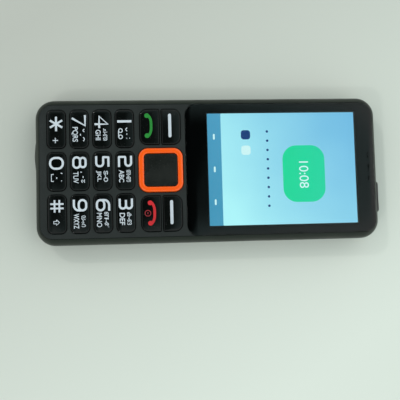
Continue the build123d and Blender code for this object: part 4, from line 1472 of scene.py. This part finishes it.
@dataclass
class Stroke:
    """One line of a legend, drawn with a round pen."""

    points: Path
    closed: bool = False
    weights: Sequence[float] = ()

    def reaching(self, by: float) -> "Stroke":
        """The same line, drawn on by this much at both its ends.

        Args:
            by: how far it is drawn on.

        Returns:
            The line, or itself where it is closed.
        """
        if self.closed:
            return self
        points = [Vector(point) for point in self.points]
        first = points[0] + (points[0] - points[1]).normalized() * by
        last = points[-1] + (points[-1] - points[-2]).normalized() * by
        return Stroke([tuple(first), *self.points[1:-1], tuple(last)], False, self.weights)

    def round_ended(self, half: float, ends: Sequence[int] = (0, -1)) -> "Stroke":
        """The same line with round ends.

        Args:
            half: half the width of the pen.
            ends: which ends are rounded, as 0 for the first and -1 for the last.

        Returns:
            The line, its pen drawn in at those ends.
        """
        points = [Vector(point) for point in self.points]
        weights = list(self.weights) or [1.0] * len(points)
        front, back = [], []
        for angle in END_ANGLES:
            reach, share = math.sin(math.radians(angle)), math.cos(math.radians(angle))
            if 0 in ends:
                way = (points[0] - points[1]).normalized() * half * weights[0]
                front.insert(0, (tuple(points[0] + way * reach), weights[0] * share))
            if -1 in ends:
                way = (points[-1] - points[-2]).normalized() * half * weights[-1]
                back.append((tuple(points[-1] + way * reach), weights[-1] * share))
        whole = front + list(zip(self.points, weights)) + back
        return Stroke([point for point, _ in whole], False, [weight for _, weight in whole])


def ring(low: Point, high: Point, radius: float) -> Stroke:
    """A closed rounded line between two corners."""
    corners = [low, (high[0], low[1]), high, (low[0], high[1])]
    return Stroke(bowed(corners, [radius] * 4, closed=True), closed=True)


def pen(
    name: str, strokes: Sequence[Stroke], width: float, place: Point, level: float, depth: float
) -> bpy.types.Object:
    """Draws strokes as one thin piece.

    Args:
        name: the name of the piece.
        strokes: the lines, in millimetres from their own corner.
        width: the width of the pen.
        place: where that corner lies.
        level: the height of the surface that they lie on.
        depth: how far they stand proud of it.

    Returns:
        The piece.
    """
    curve = bpy.data.curves.new(name, "CURVE")
    curve.dimensions = "3D"
    curve.bevel_depth = width / 2
    curve.bevel_resolution = PEN_STEPS
    curve.use_fill_caps = True
    for layer, stroke in enumerate(strokes):
        height = layer % STROKE_LEVELS * STROKE_STEP * width / (2 * depth)
        spline = curve.splines.new("POLY")
        spline.points.add(len(stroke.points) - 1)
        spline.use_cyclic_u = stroke.closed
        for index, (x, y) in enumerate(stroke.points):
            spline.points[index].co = (x, y, height, 1)
            if stroke.weights:
                spline.points[index].radius = stroke.weights[index]
    drawn = bpy.data.objects.new(name, curve)
    bpy.context.scene.collection.objects.link(drawn)
    pick_only(drawn)
    bpy.ops.object.convert(target="MESH")
    drawn = bpy.context.object
    drawn.name = drawn.data.name = name
    flatten = Matrix.Diagonal((1, 1, 2 * depth / width, 1))
    drawn.data.transform(Matrix.Translation((*place, level)) @ flatten)
    with editing(drawn, "VERT"):
        bpy.ops.mesh.select_all(action="SELECT")
        bpy.ops.mesh.normals_make_consistent(inside=False)
    return drawn


@dataclass(frozen=True)
class Legend:
    """A number key's main mark: its strokes, and the room that they take on the key."""

    strokes: Sequence[Stroke]
    left: float
    width: float
    tall: float = 5.35
    pen: float = 0.8

    def drawn(self) -> list[Stroke]:
        """The strokes, stretched so that the mark with its pen fills its room.

        Returns:
            The stretched strokes.
        """
        points = [point for stroke in self.strokes for point in stroke.points]
        xs, ys = [point[0] for point in points], [point[1] for point in points]
        wide, high = max(xs) - min(xs), max(ys) - min(ys)
        scale_x = (self.width - self.pen) / wide if wide else 1.0
        scale_y = (self.tall - self.pen) / high
        drawn = []
        for stroke in self.strokes:
            placed = [((x - min(xs)) * scale_x, (y - min(ys)) * scale_y) for x, y in stroke.points]
            drawn.append(Stroke(placed, stroke.closed).reaching(self.pen / 2))
        return drawn


TWO = bowed([(0, 4.8), (3.4, 4.8), (3.4, 2.5), (0, 2.5), (0, 0), (3.4, 0)], [0, 1.15, 1.15, 0.3, 0.1, 0])
THREE_HEAD = bowed([(0, 4.8), (3.4, 4.8), (3.4, 2.45), (0.5, 2.45)], [0, 1.15, 1.15, 0])
THREE_FOOT = bowed([(0.5, 2.45), (3.4, 2.45), (3.4, 0), (0, 0)], [0, 1.15, 1.15, 0])
FIVE = bowed(
    [(3.2, 4.8), (0.1, 4.8), (0, 2.75), (3.4, 2.75), (3.4, 0), (0, 0)], [0, 0.1, 0.1, 1.25, 1.25, 0]
)
SIX_TAIL = bowed([(0, 1.5), (0, 4.8), (3.5, 4.8)], [0, 1.9, 0])
NINE_TAIL = bowed([(3.7, 3.3), (3.7, 0), (0.2, 0)], [0, 1.9, 0])

LEGENDS: dict[str, Legend] = {
    "1": Legend([Stroke([(0, 0), (0, 4.8)])], 4.1, 0.9, pen=0.88),
    "2": Legend([Stroke(TWO)], 1.7, 4.2),
    "3": Legend([Stroke(THREE_HEAD), Stroke(THREE_FOOT)], 1.9, 4.1),
    "4": Legend([Stroke([(2.75, 0), (2.75, 4.8), (0, 1.4), (3.75, 1.4)])], 2.1, 4.9),
    "5": Legend([Stroke(FIVE)], 1.65, 4.25),
    "6": Legend([ring((0, 0), (3.7, 2.9), 1.42), Stroke(SIX_TAIL)], 1.85, 4.65),
    "7": Legend([Stroke([(0, 4.8), (3.5, 4.8), (0.9, 0)])], 2.0, 4.4),
    "8": Legend([ring((0, 0), (3.9, 2.6), 1.25), ring((0.2, 2.6), (3.7, 4.8), 1.08)], 1.6, 4.75),
    "9": Legend([ring((0, 1.9), (3.7, 4.8), 1.42), Stroke(NINE_TAIL)], 1.7, 4.65),
    "0": Legend([ring((0, 0), (4.05, 4.8), 1.9)], 1.7, 4.85, 5.5),
    "star": Legend(
        [Stroke([(0, 2.0), (4.9, 2.0)]), Stroke([(1.25, 0), (3.65, 4.0)]), Stroke([(1.25, 4.0), (3.65, 0)])],
        2.5, 5.5, 4.7, 0.76,
    ),
    "hash": Legend(
        [
            Stroke([(1.3, 0), (1.3, 4.6)]), Stroke([(3.1, 0), (3.1, 4.6)]),
            Stroke([(0, 1.35), (4.4, 1.35)]), Stroke([(0, 3.25), (4.4, 3.25)]),
        ],
        1.9, 4.65, 4.9, 0.66,
    ),
}


@dataclass(frozen=True)
class Letters:
    """The letters beside a digit: what they say, and where they start and end on the key."""

    text: str
    left: float
    right: float


LETTERS: dict[str, Letters] = {
    "2": Letters("ABC", 7.05, 11.7),
    "3": Letters("DEF", 7.25, 11.8),
    "4": Letters("GHI", 7.65, 11.6),
    "5": Letters("JKL", 7.15, 11.35),
    "6": Letters("MNO", 7.05, 12.4),
    "7": Letters("PQRS", 6.5, 12.1),
    "8": Letters("TUV", 7.4, 11.8),
    "9": Letters("WXYZ", 7.2, 12.75),
}

SECOND_LETTERS: dict[str, Letters] = {
    "2": Letters("\u0d05-\u0d14", 7.05, 11.6),
    "3": Letters("\u0d15-\u0d19", 7.0, 11.8),
    "4": Letters("\u0d1a-\u0d1e", 7.2, 11.8),
    "5": Letters("\u0d1f-\u0d20", 7.2, 11.4),
    "6": Letters("\u0d23-\u0d24", 6.7, 13.0),
    "9": Letters("\u0d2f-\u0d39", 7.9, 12.2),
}


def tick(x: float, y: float, across: float = 0.0, along: float = 0.0) -> Stroke:
    """A short straight mark."""
    return Stroke([(x, y), (x + across, y + along)])


def cup(x: float, y: float, wide: float, deep: float) -> Stroke:
    """A short mark that sags in its middle, or rises where deep is negative."""
    return Stroke([(x + wide * step / 4, y - deep * math.sin(step / 4 * math.pi)) for step in range(5)])


MARKS: dict[str, list[Stroke]] = {
    "1": [
        ring((7.35, 1.25), (8.75, 2.6), 0.64),
        ring((9.75, 1.25), (11.15, 2.6), 0.64),
        tick(8.0, 1.2, 2.5),
        cup(7.0, 4.45, 1.3, 0.55), tick(9.2, 4.3, 0.45), tick(11.0, 4.1, 0.0, 0.25), tick(11.0, 5.2, 0.0, 0.25),
    ],
    "7": [cup(7.3, 5.4, 1.1, 0.5), tick(9.1, 3.95, 0.7), cup(10.4, 4.95, 1.5, -0.45)],
    "8": [
        tick(7.5, 3.75, 0.2, 0.5), tick(9.15, 4.7, 0.65),
        cup(10.5, 5.35, 1.0, 0.4), cup(10.5, 4.5, 1.0, 0.35),
    ],
    "0": [
        Stroke([(8.3, 2.35), (8.3, 1.5), (10.9, 1.5), (10.9, 2.35)]),
        tick(7.85, 4.95, 0.15, 0.6), tick(9.35, 3.45, 0.6), tick(10.75, 5.1, 0.0, 0.3),
    ],
    "star": [tick(10.5, 3.1, 2.0), tick(11.5, 2.1, 0.0, 2.0)],
    "hash": [
        Stroke([
            (9.3, 3.2), (10.3, 4.3), (11.3, 3.2), (10.75, 3.2),
            (10.75, 2.2), (9.85, 2.2), (9.85, 3.2), (9.3, 3.2),
        ]),
    ],
}

FUNCTION_KEYS = ("call_key", "end_key", "soft_key_left", "soft_key_right")


@dataclass
class Keypad:
    """The keys, each with its flange, its cap and its legend, and the ring with its OK key."""

    flange_low: float = 11.3
    flange: float = 0.5
    lip: float = 0.4
    top: float = 13.7
    edge: float = 0.26
    crown: float = 0.03
    crown_edge: float = 0.12
    plunger_radius: float = 1.5
    plunger_length: float = 1.1
    plunger_drop: float = 0.4
    key_width: float = 14.5
    key_height: float = 6.85
    key_corner: float = 2.1
    pair_corner: float = 2.8
    pair_inner: float = 0.5
    ring_corner: float = 3.6
    ring_band: float = 2.0
    ring_outer_edge: float = 0.6
    ring_inner_edge: float = 0.45
    ok_corner: float = 1.4
    dish_steps: int = 3
    dish_step: float = 0.22
    dish_drop: float = 0.008
    ink_depth: float = 0.012
    mark_pen: float = 0.34
    bar_pen: float = 1.15
    bar_half: float = 4.0
    power_pen: float = 0.3
    power_radius: float = 1.08
    handset_pen: float = 1.0
    arch_half: float = 4.0
    arch_high: float = 0.85
    arch_drop: float = 1.15
    arch_bend: float = 3.2
    letter_low: float = 1.05
    letter_tall: float = 1.95
    second_low: float = 3.85
    second_tall: float = 1.6
    number_names: Sequence[str] = ("1", "2", "3", "4", "5", "6", "7", "8", "9", "star", "0", "hash")
    plans: dict[str, Plan] = field(default_factory=dict)

    def __post_init__(self) -> None:
        """Works out the plan of each key from its CAD node."""
        for name in self.number_names:
            at = middle(f"key_{name}")
            self.plans[f"key_{name}"] = Plan(
                self.key_width, self.key_height, self.key_corner, across=at.x, along=at.y
            )
        corners = (self.pair_corner, self.pair_inner)
        for name in FUNCTION_KEYS:
            pair = corners[::-1] if name.startswith("soft") else corners
            self.plans[name] = plan_over(name, pair, self.lip)
        low, high = span("nav_ring")
        at = middle("nav_ring")
        size = (high.x - low.x - 2 * self.lip, high.y - low.y - 2 * self.lip)
        self.plans["nav_ring"] = Plan(*size, self.ring_corner, across=at.x, along=at.y, steps=16)

    def build(self) -> None:
        """Makes every key and its legend."""
        first = self._cap(self.plans["key_1"], "key_1_cap")
        home = self.plans["key_1"]
        caps = {"1": first}
        for name in self.number_names[1:]:
            plan = self.plans[f"key_{name}"]
            move = Vector((plan.across - home.across, plan.along - home.along, 0))
            caps[name] = twin(first, f"key_{name}_cap", move)
        for name, cap in caps.items():
            fit_piece(cap, f"key_{name}", FINISH.key, (f"key_{name}",))
            self._number_legend(name)
        for name in FUNCTION_KEYS:
            fit_piece(self._cap(self.plans[name], f"{name}_cap"), name, FINISH.key, (name,))
        bar = Stroke([(-self.bar_half, 0), (self.bar_half, 0)]).round_ended(self.bar_pen / 2)
        for name in ("soft_key_left", "soft_key_right"):
            self._print(f"{name}_bar", name, [bar], self.bar_pen, (-0.4, -0.4), FINISH.ink)
        self._handset("call_key", FINISH.green_ink, (-0.44, -0.2))
        self._handset("end_key", FINISH.red_ink, (-0.26, 0.43))
        radius, turns = self.power_radius, [turn * math.pi / 16 for turn in range(32)]
        circle = [(radius * math.cos(turn), radius * math.sin(turn)) for turn in turns]
        sign = [Stroke(circle, closed=True), tick(-0.4, 0, 0.8)]
        self._print("end_key_power", "end_key", sign, self.power_pen, (-0.2, -1.25), FINISH.dim_red_ink)
        self._ring()
        self._ok_key()

    def _print(
        self, name: str, key: str, strokes: Sequence[Stroke], width: float, offset: Point, ink: Finish
    ) -> None:
        """Prints strokes on a key.

        Args:
            name: the name of the print.
            key: the key that it rides on.
            strokes: the lines, in millimetres from their own corner.
            width: the width of the pen.
            offset: how far that corner lies off the key's middle.
            ink: the finish of the print.
        """
        plan = self.plans[key]
        place = (plan.across + offset[0], plan.along + offset[1])
        fit_piece(pen(name, strokes, width, place, self.top, self.ink_depth), key, ink)

    def _add_plunger(self, key: bpy.types.Object, plan: Plan) -> None:
        """Joins a plunger on under a key, in the middle of its plan."""
        place = (plan.across, plan.along, self.flange_low - self.plunger_drop)
        carve(key, drum("plunger", self.plunger_radius, self.plunger_length, place, sides=24), Cut.ON)

    def _cap(self, plan: Plan, name: str) -> bpy.types.Object:
        """A key's flange, cap and plunger in one moulding, with a faint crown.

        Args:
            plan: the plan of its cap.
            name: the name of the piece.

        Returns:
            The key.
        """
        cap = plan.grown(self.lip).block(name, self.flange_low, self.flange_low + self.flange)
        with editing(cap):
            choose_faces(cap, faces_up(self.flange_low + self.flange))
            step_in(self.lip, 0.0)
            draw_out(self.top - self.crown - self.edge - self.flange_low - self.flange)
            round_over(self.edge, 5)
            step_in(self.crown_edge, self.crown)
        self._add_plunger(cap, plan)
        weld(cap)
        return cap

    def _number_legend(self, name: str) -> None:
        """A number key's digit, and its letters or mark beside it.

        Args:
            name: the key's digit or sign.
        """
        plan = self.plans[f"key_{name}"]
        left, low = plan.across - plan.width / 2, plan.along - plan.length / 2
        legend = LEGENDS[name]
        place = (left + legend.left + legend.pen / 2, plan.along - (legend.tall - legend.pen) / 2)
        digit = pen(f"key_{name}_digit", legend.drawn(), legend.pen, place, self.top, self.ink_depth)
        fit_piece(digit, f"key_{name}", FINISH.ink)
        rows = (
            (LETTERS, "letters", self.letter_low, self.letter_tall),
            (SECOND_LETTERS, "second_letters", self.second_low, self.second_tall),
        )
        level, depth = self.top - self.ink_depth / 2, self.ink_depth * 1.5
        for letters, kind, foot, tall in rows:
            if name in letters:
                row = letters[name]
                room = ((left + row.left, low + foot), (left + row.right, low + foot + tall))
                words = words_in_room(f"key_{name}_{kind}", row.text, room, level, depth)
                fit_piece(words, f"key_{name}", FINISH.ink)
        if name in MARKS:
            mark = pen(f"key_{name}_mark", MARKS[name], self.mark_pen, (left, low), self.top, self.ink_depth)
            fit_piece(mark, f"key_{name}", FINISH.ink)

    def _handset(self, key: str, ink: Finish, offset: Point) -> None:
        """Prints a handset that arches towards the head of the phone, with a block at each end.

        Args:
            key: the key that it rides on.
            ink: its finish.
            offset: how far it lies off the key's middle.
        """
        width, steps = self.handset_pen, 24
        shares = [step / steps * 2 - 1 for step in range(steps + 1)]
        heights = [self.arch_high - self.arch_drop * abs(share) ** self.arch_bend for share in shares]
        strokes = [Stroke([(self.arch_half * share, height) for share, height in zip(shares, heights)])]
        for side in (-1, 1):
            block = [(side * 3.95, 0.0), (side * 3.9, -0.4), (side * 3.84, -0.78)]
            strokes.append(Stroke(block, weights=(1.15, 1.7, 1.8)).round_ended(width / 2, (-1,)))
        self._print(f"{key}_handset", key, strokes, width, offset, ink)

    def _ring(self) -> None:
        """The orange ring, round at both its upper edges, over its flange."""
        low, high = span("nav_ring")
        outer, inner = self.ring_outer_edge, self.ring_inner_edge
        band = self.plans["nav_ring"].grown(self.lip).block("nav_ring_band", low.z, low.z + self.flange)
        with editing(band):
            choose_faces(band, faces_up(low.z + self.flange))
            step_in(self.lip, 0.0)
            draw_out(high.z - outer - low.z - self.flange)
            round_over(outer, 7)
            step_in(self.ring_band - outer - inner, 0.0)
            round_in(inner, 6)
            draw_out(low.z - high.z + inner)
            bpy.ops.mesh.delete(type="FACE")
            choose_faces(band, faces_down(low.z))
            step_in(self.lip + self.ring_band, 0.0)
            bpy.ops.mesh.delete(type="FACE")
        weld(band)
        fit_piece(band, "nav_ring", FINISH.ring, ("nav_ring",))

    def _ok_key(self) -> None:
        """The OK key, a soft square with a faint dish."""
        high = span("ok_key")[1]
        plan = plan_over("ok_key", [self.ok_corner])
        key = plan.block("ok_key_cap", self.flange_low, high.z - self.edge)
        with editing(key):
            choose_faces(key, faces_up(high.z - self.edge))
            round_over(self.edge, 5)
            for _ in range(self.dish_steps):
                step_in(self.dish_step, -self.dish_drop)
        self._add_plunger(key, plan)
        weld(key)
        fit_piece(key, "ok_key", FINISH.ok, ("ok_key",))


@dataclass
class Ends:
    """What shows at the ends of the phone: the torch window."""

    edge: float = 0.6
    corner: float = 1.2

    def build(self) -> None:
        """Makes the torch window with its outer edges rounded."""
        low, high = span("torch_lens")
        window = brick("torch_window", low, high)
        with editing(window, "EDGE"):
            choose_edges(window, lambda edge: abs(edge.verts[0].co.y - edge.verts[1].co.y) > LONG)
            bevel_edges(self.corner, 8)
        with editing(window):
            choose_faces(
                window, lambda face: face.normal.y > FACING and abs(face.calc_center_median().y - high.y) < NEAR
            )
            bpy.ops.transform.translate(value=(0, -self.edge, 0))
            round_over(self.edge, 6)
        weld(window)
        fit_piece(window, "phone", FINISH.torch, ("torch_lens",))


@dataclass
class Inside:
    """The pieces under the cover and inside, from their solids or made anew."""

    head_radius: float = 1.15
    head_height: float = 0.8
    head_edge: float = 0.2
    slot_half: Point = (0.7, 0.14)
    slot_deep: float = 0.45
    shaft_radius: float = 0.65
    shaft_low: float = 0.5
    screw_rows: Sequence[Point] = ((-70, -30), (-30, 20), (20, 70))
    pack_corner: float = 1.0
    pack_edge: float = 0.4
    field_edge: float = 0.1
    field_sunk: float = 0.06

    def build(self) -> None:
        """Makes the screws and the battery, and dresses the solids that stay."""
        self._screws()
        self._battery()
        self._dress()

    def _screws(self) -> None:
        """Six screws with round heads and crossed slots, modelled once."""
        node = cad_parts["housing_screws"]
        low, high = span("housing_screws")
        reach = high.z - low.z
        head = (0, 0, (self.head_edge + self.head_height) / 2)
        first = drum("screw", self.head_radius, self.head_height - self.head_edge, head, sides=32)
        with editing(first):
            choose_faces(first, lambda face: face.normal.z < -FACING)
            round_over(self.head_edge, 4)
        for x, y in (self.slot_half, self.slot_half[::-1]):
            carve(first, brick("slot", (-x, -y, -self.head_edge), (x, y, self.slot_deep)))
        shaft = (0, 0, (reach + self.shaft_low) / 2)
        carve(first, drum("shaft", self.shaft_radius, reach - self.shaft_low, shaft, sides=24), Cut.ON)
        weld(first)
        heads = [vert.co / MM for vert in node.data.vertices if vert.co.z / MM < low.z + NEAR]
        places: list[Point] = []
        for side in (-1, 1):
            for end_low, end_high in self.screw_rows:
                near = [at for at in heads if at.x * side > 0 and end_low < at.y < end_high]
                xs, ys = [at.x for at in near], [at.y for at in near]
                places.append(((min(xs) + max(xs)) / 2, (min(ys) + max(ys)) / 2))
        screws = [twin(first, f"screw_{index}", Vector((x, y, low.z))) for index, (x, y) in enumerate(places)]
        bpy.data.objects.remove(first)
        fit_piece(join(screws, "screw_set"), "phone", FINISH.steel, ("housing_screws",))

    def _battery(self) -> None:
        """The battery, with soft edges and a bare wrap."""
        low, high = span("battery")
        edge = self.pack_edge
        plan = plan_over("battery", [self.pack_corner], steps=6)
        pack = plan.block("battery_pack", low.z + edge, high.z - edge)
        with editing(pack):
            for faces in (faces_up(high.z - edge), faces_down(low.z + edge)):
                choose_faces(pack, faces)
                round_over(edge, 4)
            # the wrap's field, sunk a little in the underside
            step_in(edge, 0.0)
            step_in(self.field_edge, -self.field_sunk)
        fit_piece(pack, "phone", FINISH.wrap, ("battery",))

    def _dress(self) -> None:
        """Gives each solid that stays its finish."""
        dressed: dict[Finish, Sequence[str]] = {
            FINISH.border: ("lens_border",),
            FINISH.glass: ("lcd_glass",),
            FINISH.diffuser: ("lcd_backlight",),
            FINISH.steel: (
                "lcd_frame", "shield_cans", "sim_sockets", "memory_card_socket", "usb_socket",
                "motor_weight", "metal_domes", "vibration_motor",
            ),
            FINISH.flex: ("lcd_flex", "antenna", "dome_sheet"),
            FINISH.black: (
                "earpiece", "contact_block", "audio_jack", "usb_tongue", "loudspeaker", "camera_module",
                "microphone",
            ),
            FINISH.mesh: ("earpiece_mesh", "speaker_mesh"),
            FINISH.silicone: ("keypad_mat", "nav_rocker_pad"),
            FINISH.board: ("main_board",),
            FINISH.gold: ("contact_springs",),
            FINISH.lamp: ("torch_leds",),
            FINISH.camera: ("camera_window",),
        }
        for finish, nodes in dressed.items():
            for node in nodes:
                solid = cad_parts[node]
                solid.data.materials.clear()
                solid.data.materials.append(finish.material())
                log.info("%s keeps its solid in %s", node, finish.slot.value)


@dataclass
class Studio:
    """The table, the lamps and the camera."""

    table: float = 3.0
    room: float = 1.13
    camera_place: Sequence[float] = (0.029284, -0.0244, 0.25857)
    camera_lens: float = 58.5
    camera_sensor: float = 36.0
    camera_near: float = 0.01

    def build(self) -> None:
        """Lays the table, hangs the lamps and sets the camera."""
        self._table()
        self._world()
        for name, side in (("left_foot_light", -1), ("right_foot_light", 1)):
            self._lamp(name, (0.5 * side, -0.5, 0.8), (0, 0, 0), 0.05, 1.0)
        self._camera()

    def _table(self) -> None:
        """The pale table, its colour painted lighter towards +X and +Y as painted light."""
        bpy.ops.object.select_all(action="DESELECT")
        bpy.ops.mesh.primitive_plane_add(size=self.table, location=(0, 0, 0))
        table = bpy.context.object
        table.name = table.data.name = "table"
        material, sheet = new_surface("pale table")
        where = sheet.place()
        parts = sheet.add("ShaderNodeSeparateXYZ", {"Vector": where})
        # Painted light: the table's colour grows lighter towards +X and +Y, where the room's light falls more
        # brightly, and darker towards -X and -Y
        painted_light_slope = sheet.sums(
            "ADD",
            sheet.sums("MULTIPLY", parts.outputs["Y"], 2.2),
            sheet.sums("MULTIPLY", parts.outputs["X"], 3.2),
        )
        share = sheet.spread(painted_light_slope, 0.0, 1.0, -0.35, 0.35)
        colour = sheet.blend(share, tint(186, 188, 180), tint(222, 228, 219))
        sheet.shade({"Base Color": colour, "Roughness": 0.75})
        table.data.materials.append(material)

    def _world(self) -> None:
        """A bright room with the dark figure of the photographer in its middle, overhead."""
        world = bpy.data.worlds.new("room")
        bpy.context.scene.world = world
        world.use_nodes = True
        sheet = Sheet(world.node_tree)
        ways = sheet.add("ShaderNodeTexCoord").outputs["Generated"]
        parts = sheet.add("ShaderNodeSeparateXYZ", {"Vector": ways})
        along = self._ramp(
            sheet, parts.outputs["Y"],
            [(-0.5, 1.0), (-0.24, 0.03), (0.03, 0.05), (0.06, 0.17), (0.14, 0.34), (0.34, 0.6), (0.6, 1.0)],
        )
        across = self._ramp(
            sheet, parts.outputs["X"],
            [(-0.8, 0.3), (-0.5, 1.0), (-0.3, 0.0), (0.05, 0.0), (0.28, 1.0), (0.7, 0.3)],
        )
        dark = sheet.sums("MULTIPLY", sheet.sums("SUBTRACT", 1.0, along), sheet.sums("SUBTRACT", 1.0, across))
        height = self._ramp(sheet, parts.outputs["Z"], [(0.0, 0.35), (0.5, 1.0)])
        side = sheet.spread(parts.outputs["Y"], 0.75, 1.45, -1.0, 1.0)
        share = sheet.sums("MULTIPLY", sheet.sums("SUBTRACT", 1.0, dark), sheet.sums("MULTIPLY", height, side))
        bright = sheet.sums("MULTIPLY", share, self.room)
        tinted = sheet.spread(dark, 0.0, 1.0, 0.15, 0.45)
        colour = sheet.blend(tinted, (0.97, 1.0, 0.985, 1.0), (0.7, 1.0, 1.0, 1.0))
        glow = sheet.add("ShaderNodeBackground", {"Color": colour, "Strength": bright})
        sheet.add("ShaderNodeOutputWorld", {"Surface": glow.outputs[0]})

    def _ramp(self, sheet: Sheet, source: bpy.types.NodeSocket, stops: Sequence[Point]) -> bpy.types.NodeSocket:
        """Maps a value from -1..1 through a row of stops.

        Args:
            sheet: the tree that it goes into.
            source: the value.
            stops: pairs of a value and what it maps to.

        Returns:
            The mapped value.
        """
        ramp = sheet.add("ShaderNodeValToRGB", {"Fac": sheet.spread(source, 0.0, 1.0, -1.0, 1.0)})
        ramp.color_ramp.interpolation = "EASE"
        points = ramp.color_ramp.elements
        points[-1].position = (stops[-1][0] + 1) / 2
        points[0].position = (stops[0][0] + 1) / 2
        for at, _ in stops[1:-1]:
            points.new((at + 1) / 2)
        for point, (_, value) in zip(points, stops):
            point.color = (value, value, value, 1.0)
        return ramp.outputs["Color"]

    def _lamp(self, name: str, place: Sequence[float], aim: Sequence[float], size: float, power: float) -> None:
        """Hangs one soft lamp.

        Args:
            name: its name.
            place: where it hangs, in metres.
            aim: the point that it faces.
            size: the side of its square.
            power: its watts.
        """
        light = bpy.data.lights.new(name, "AREA")
        light.shape = "SQUARE"
        light.size = size
        light.energy = power
        lamp = bpy.data.objects.new(name, light)
        bpy.context.scene.collection.objects.link(lamp)
        lamp.location = place
        lamp.rotation_euler = (Vector(aim) - Vector(place)).to_track_quat("-Z", "Y").to_euler()

    def _camera(self) -> None:
        """Sets the camera where the photograph was taken from."""
        right = Vector((0.02704, 0.99642, 0.08009))
        down = Vector((0.9971, -0.02118, -0.07309))
        forward = Vector((-0.07113, 0.08183, -0.9941))
        data = bpy.data.cameras.new("camera")
        data.sensor_width = self.camera_sensor
        data.lens = self.camera_lens
        data.clip_start = self.camera_near
        camera = bpy.data.objects.new("camera", data)
        bpy.context.scene.collection.objects.link(camera)
        turn = Matrix((right, -down, -forward)).transposed().to_4x4()
        camera.matrix_world = Matrix.Translation(self.camera_place) @ turn
        bpy.context.scene.camera = camera
        bpy.context.scene.view_settings.view_transform = "Standard"


def main() -> None:
    """Builds the phone and its studio."""
    keypad = Keypad()
    FrontShell().build()
    RearShell().build()
    BackCover().build()
    FacePlate().build(list(keypad.plans.values()))
    DisplayLens().build()
    Picture().build()
    keypad.build()
    Ends().build()
    Inside().build()
    Studio().build()


if __name__ == "__main__":
    main()
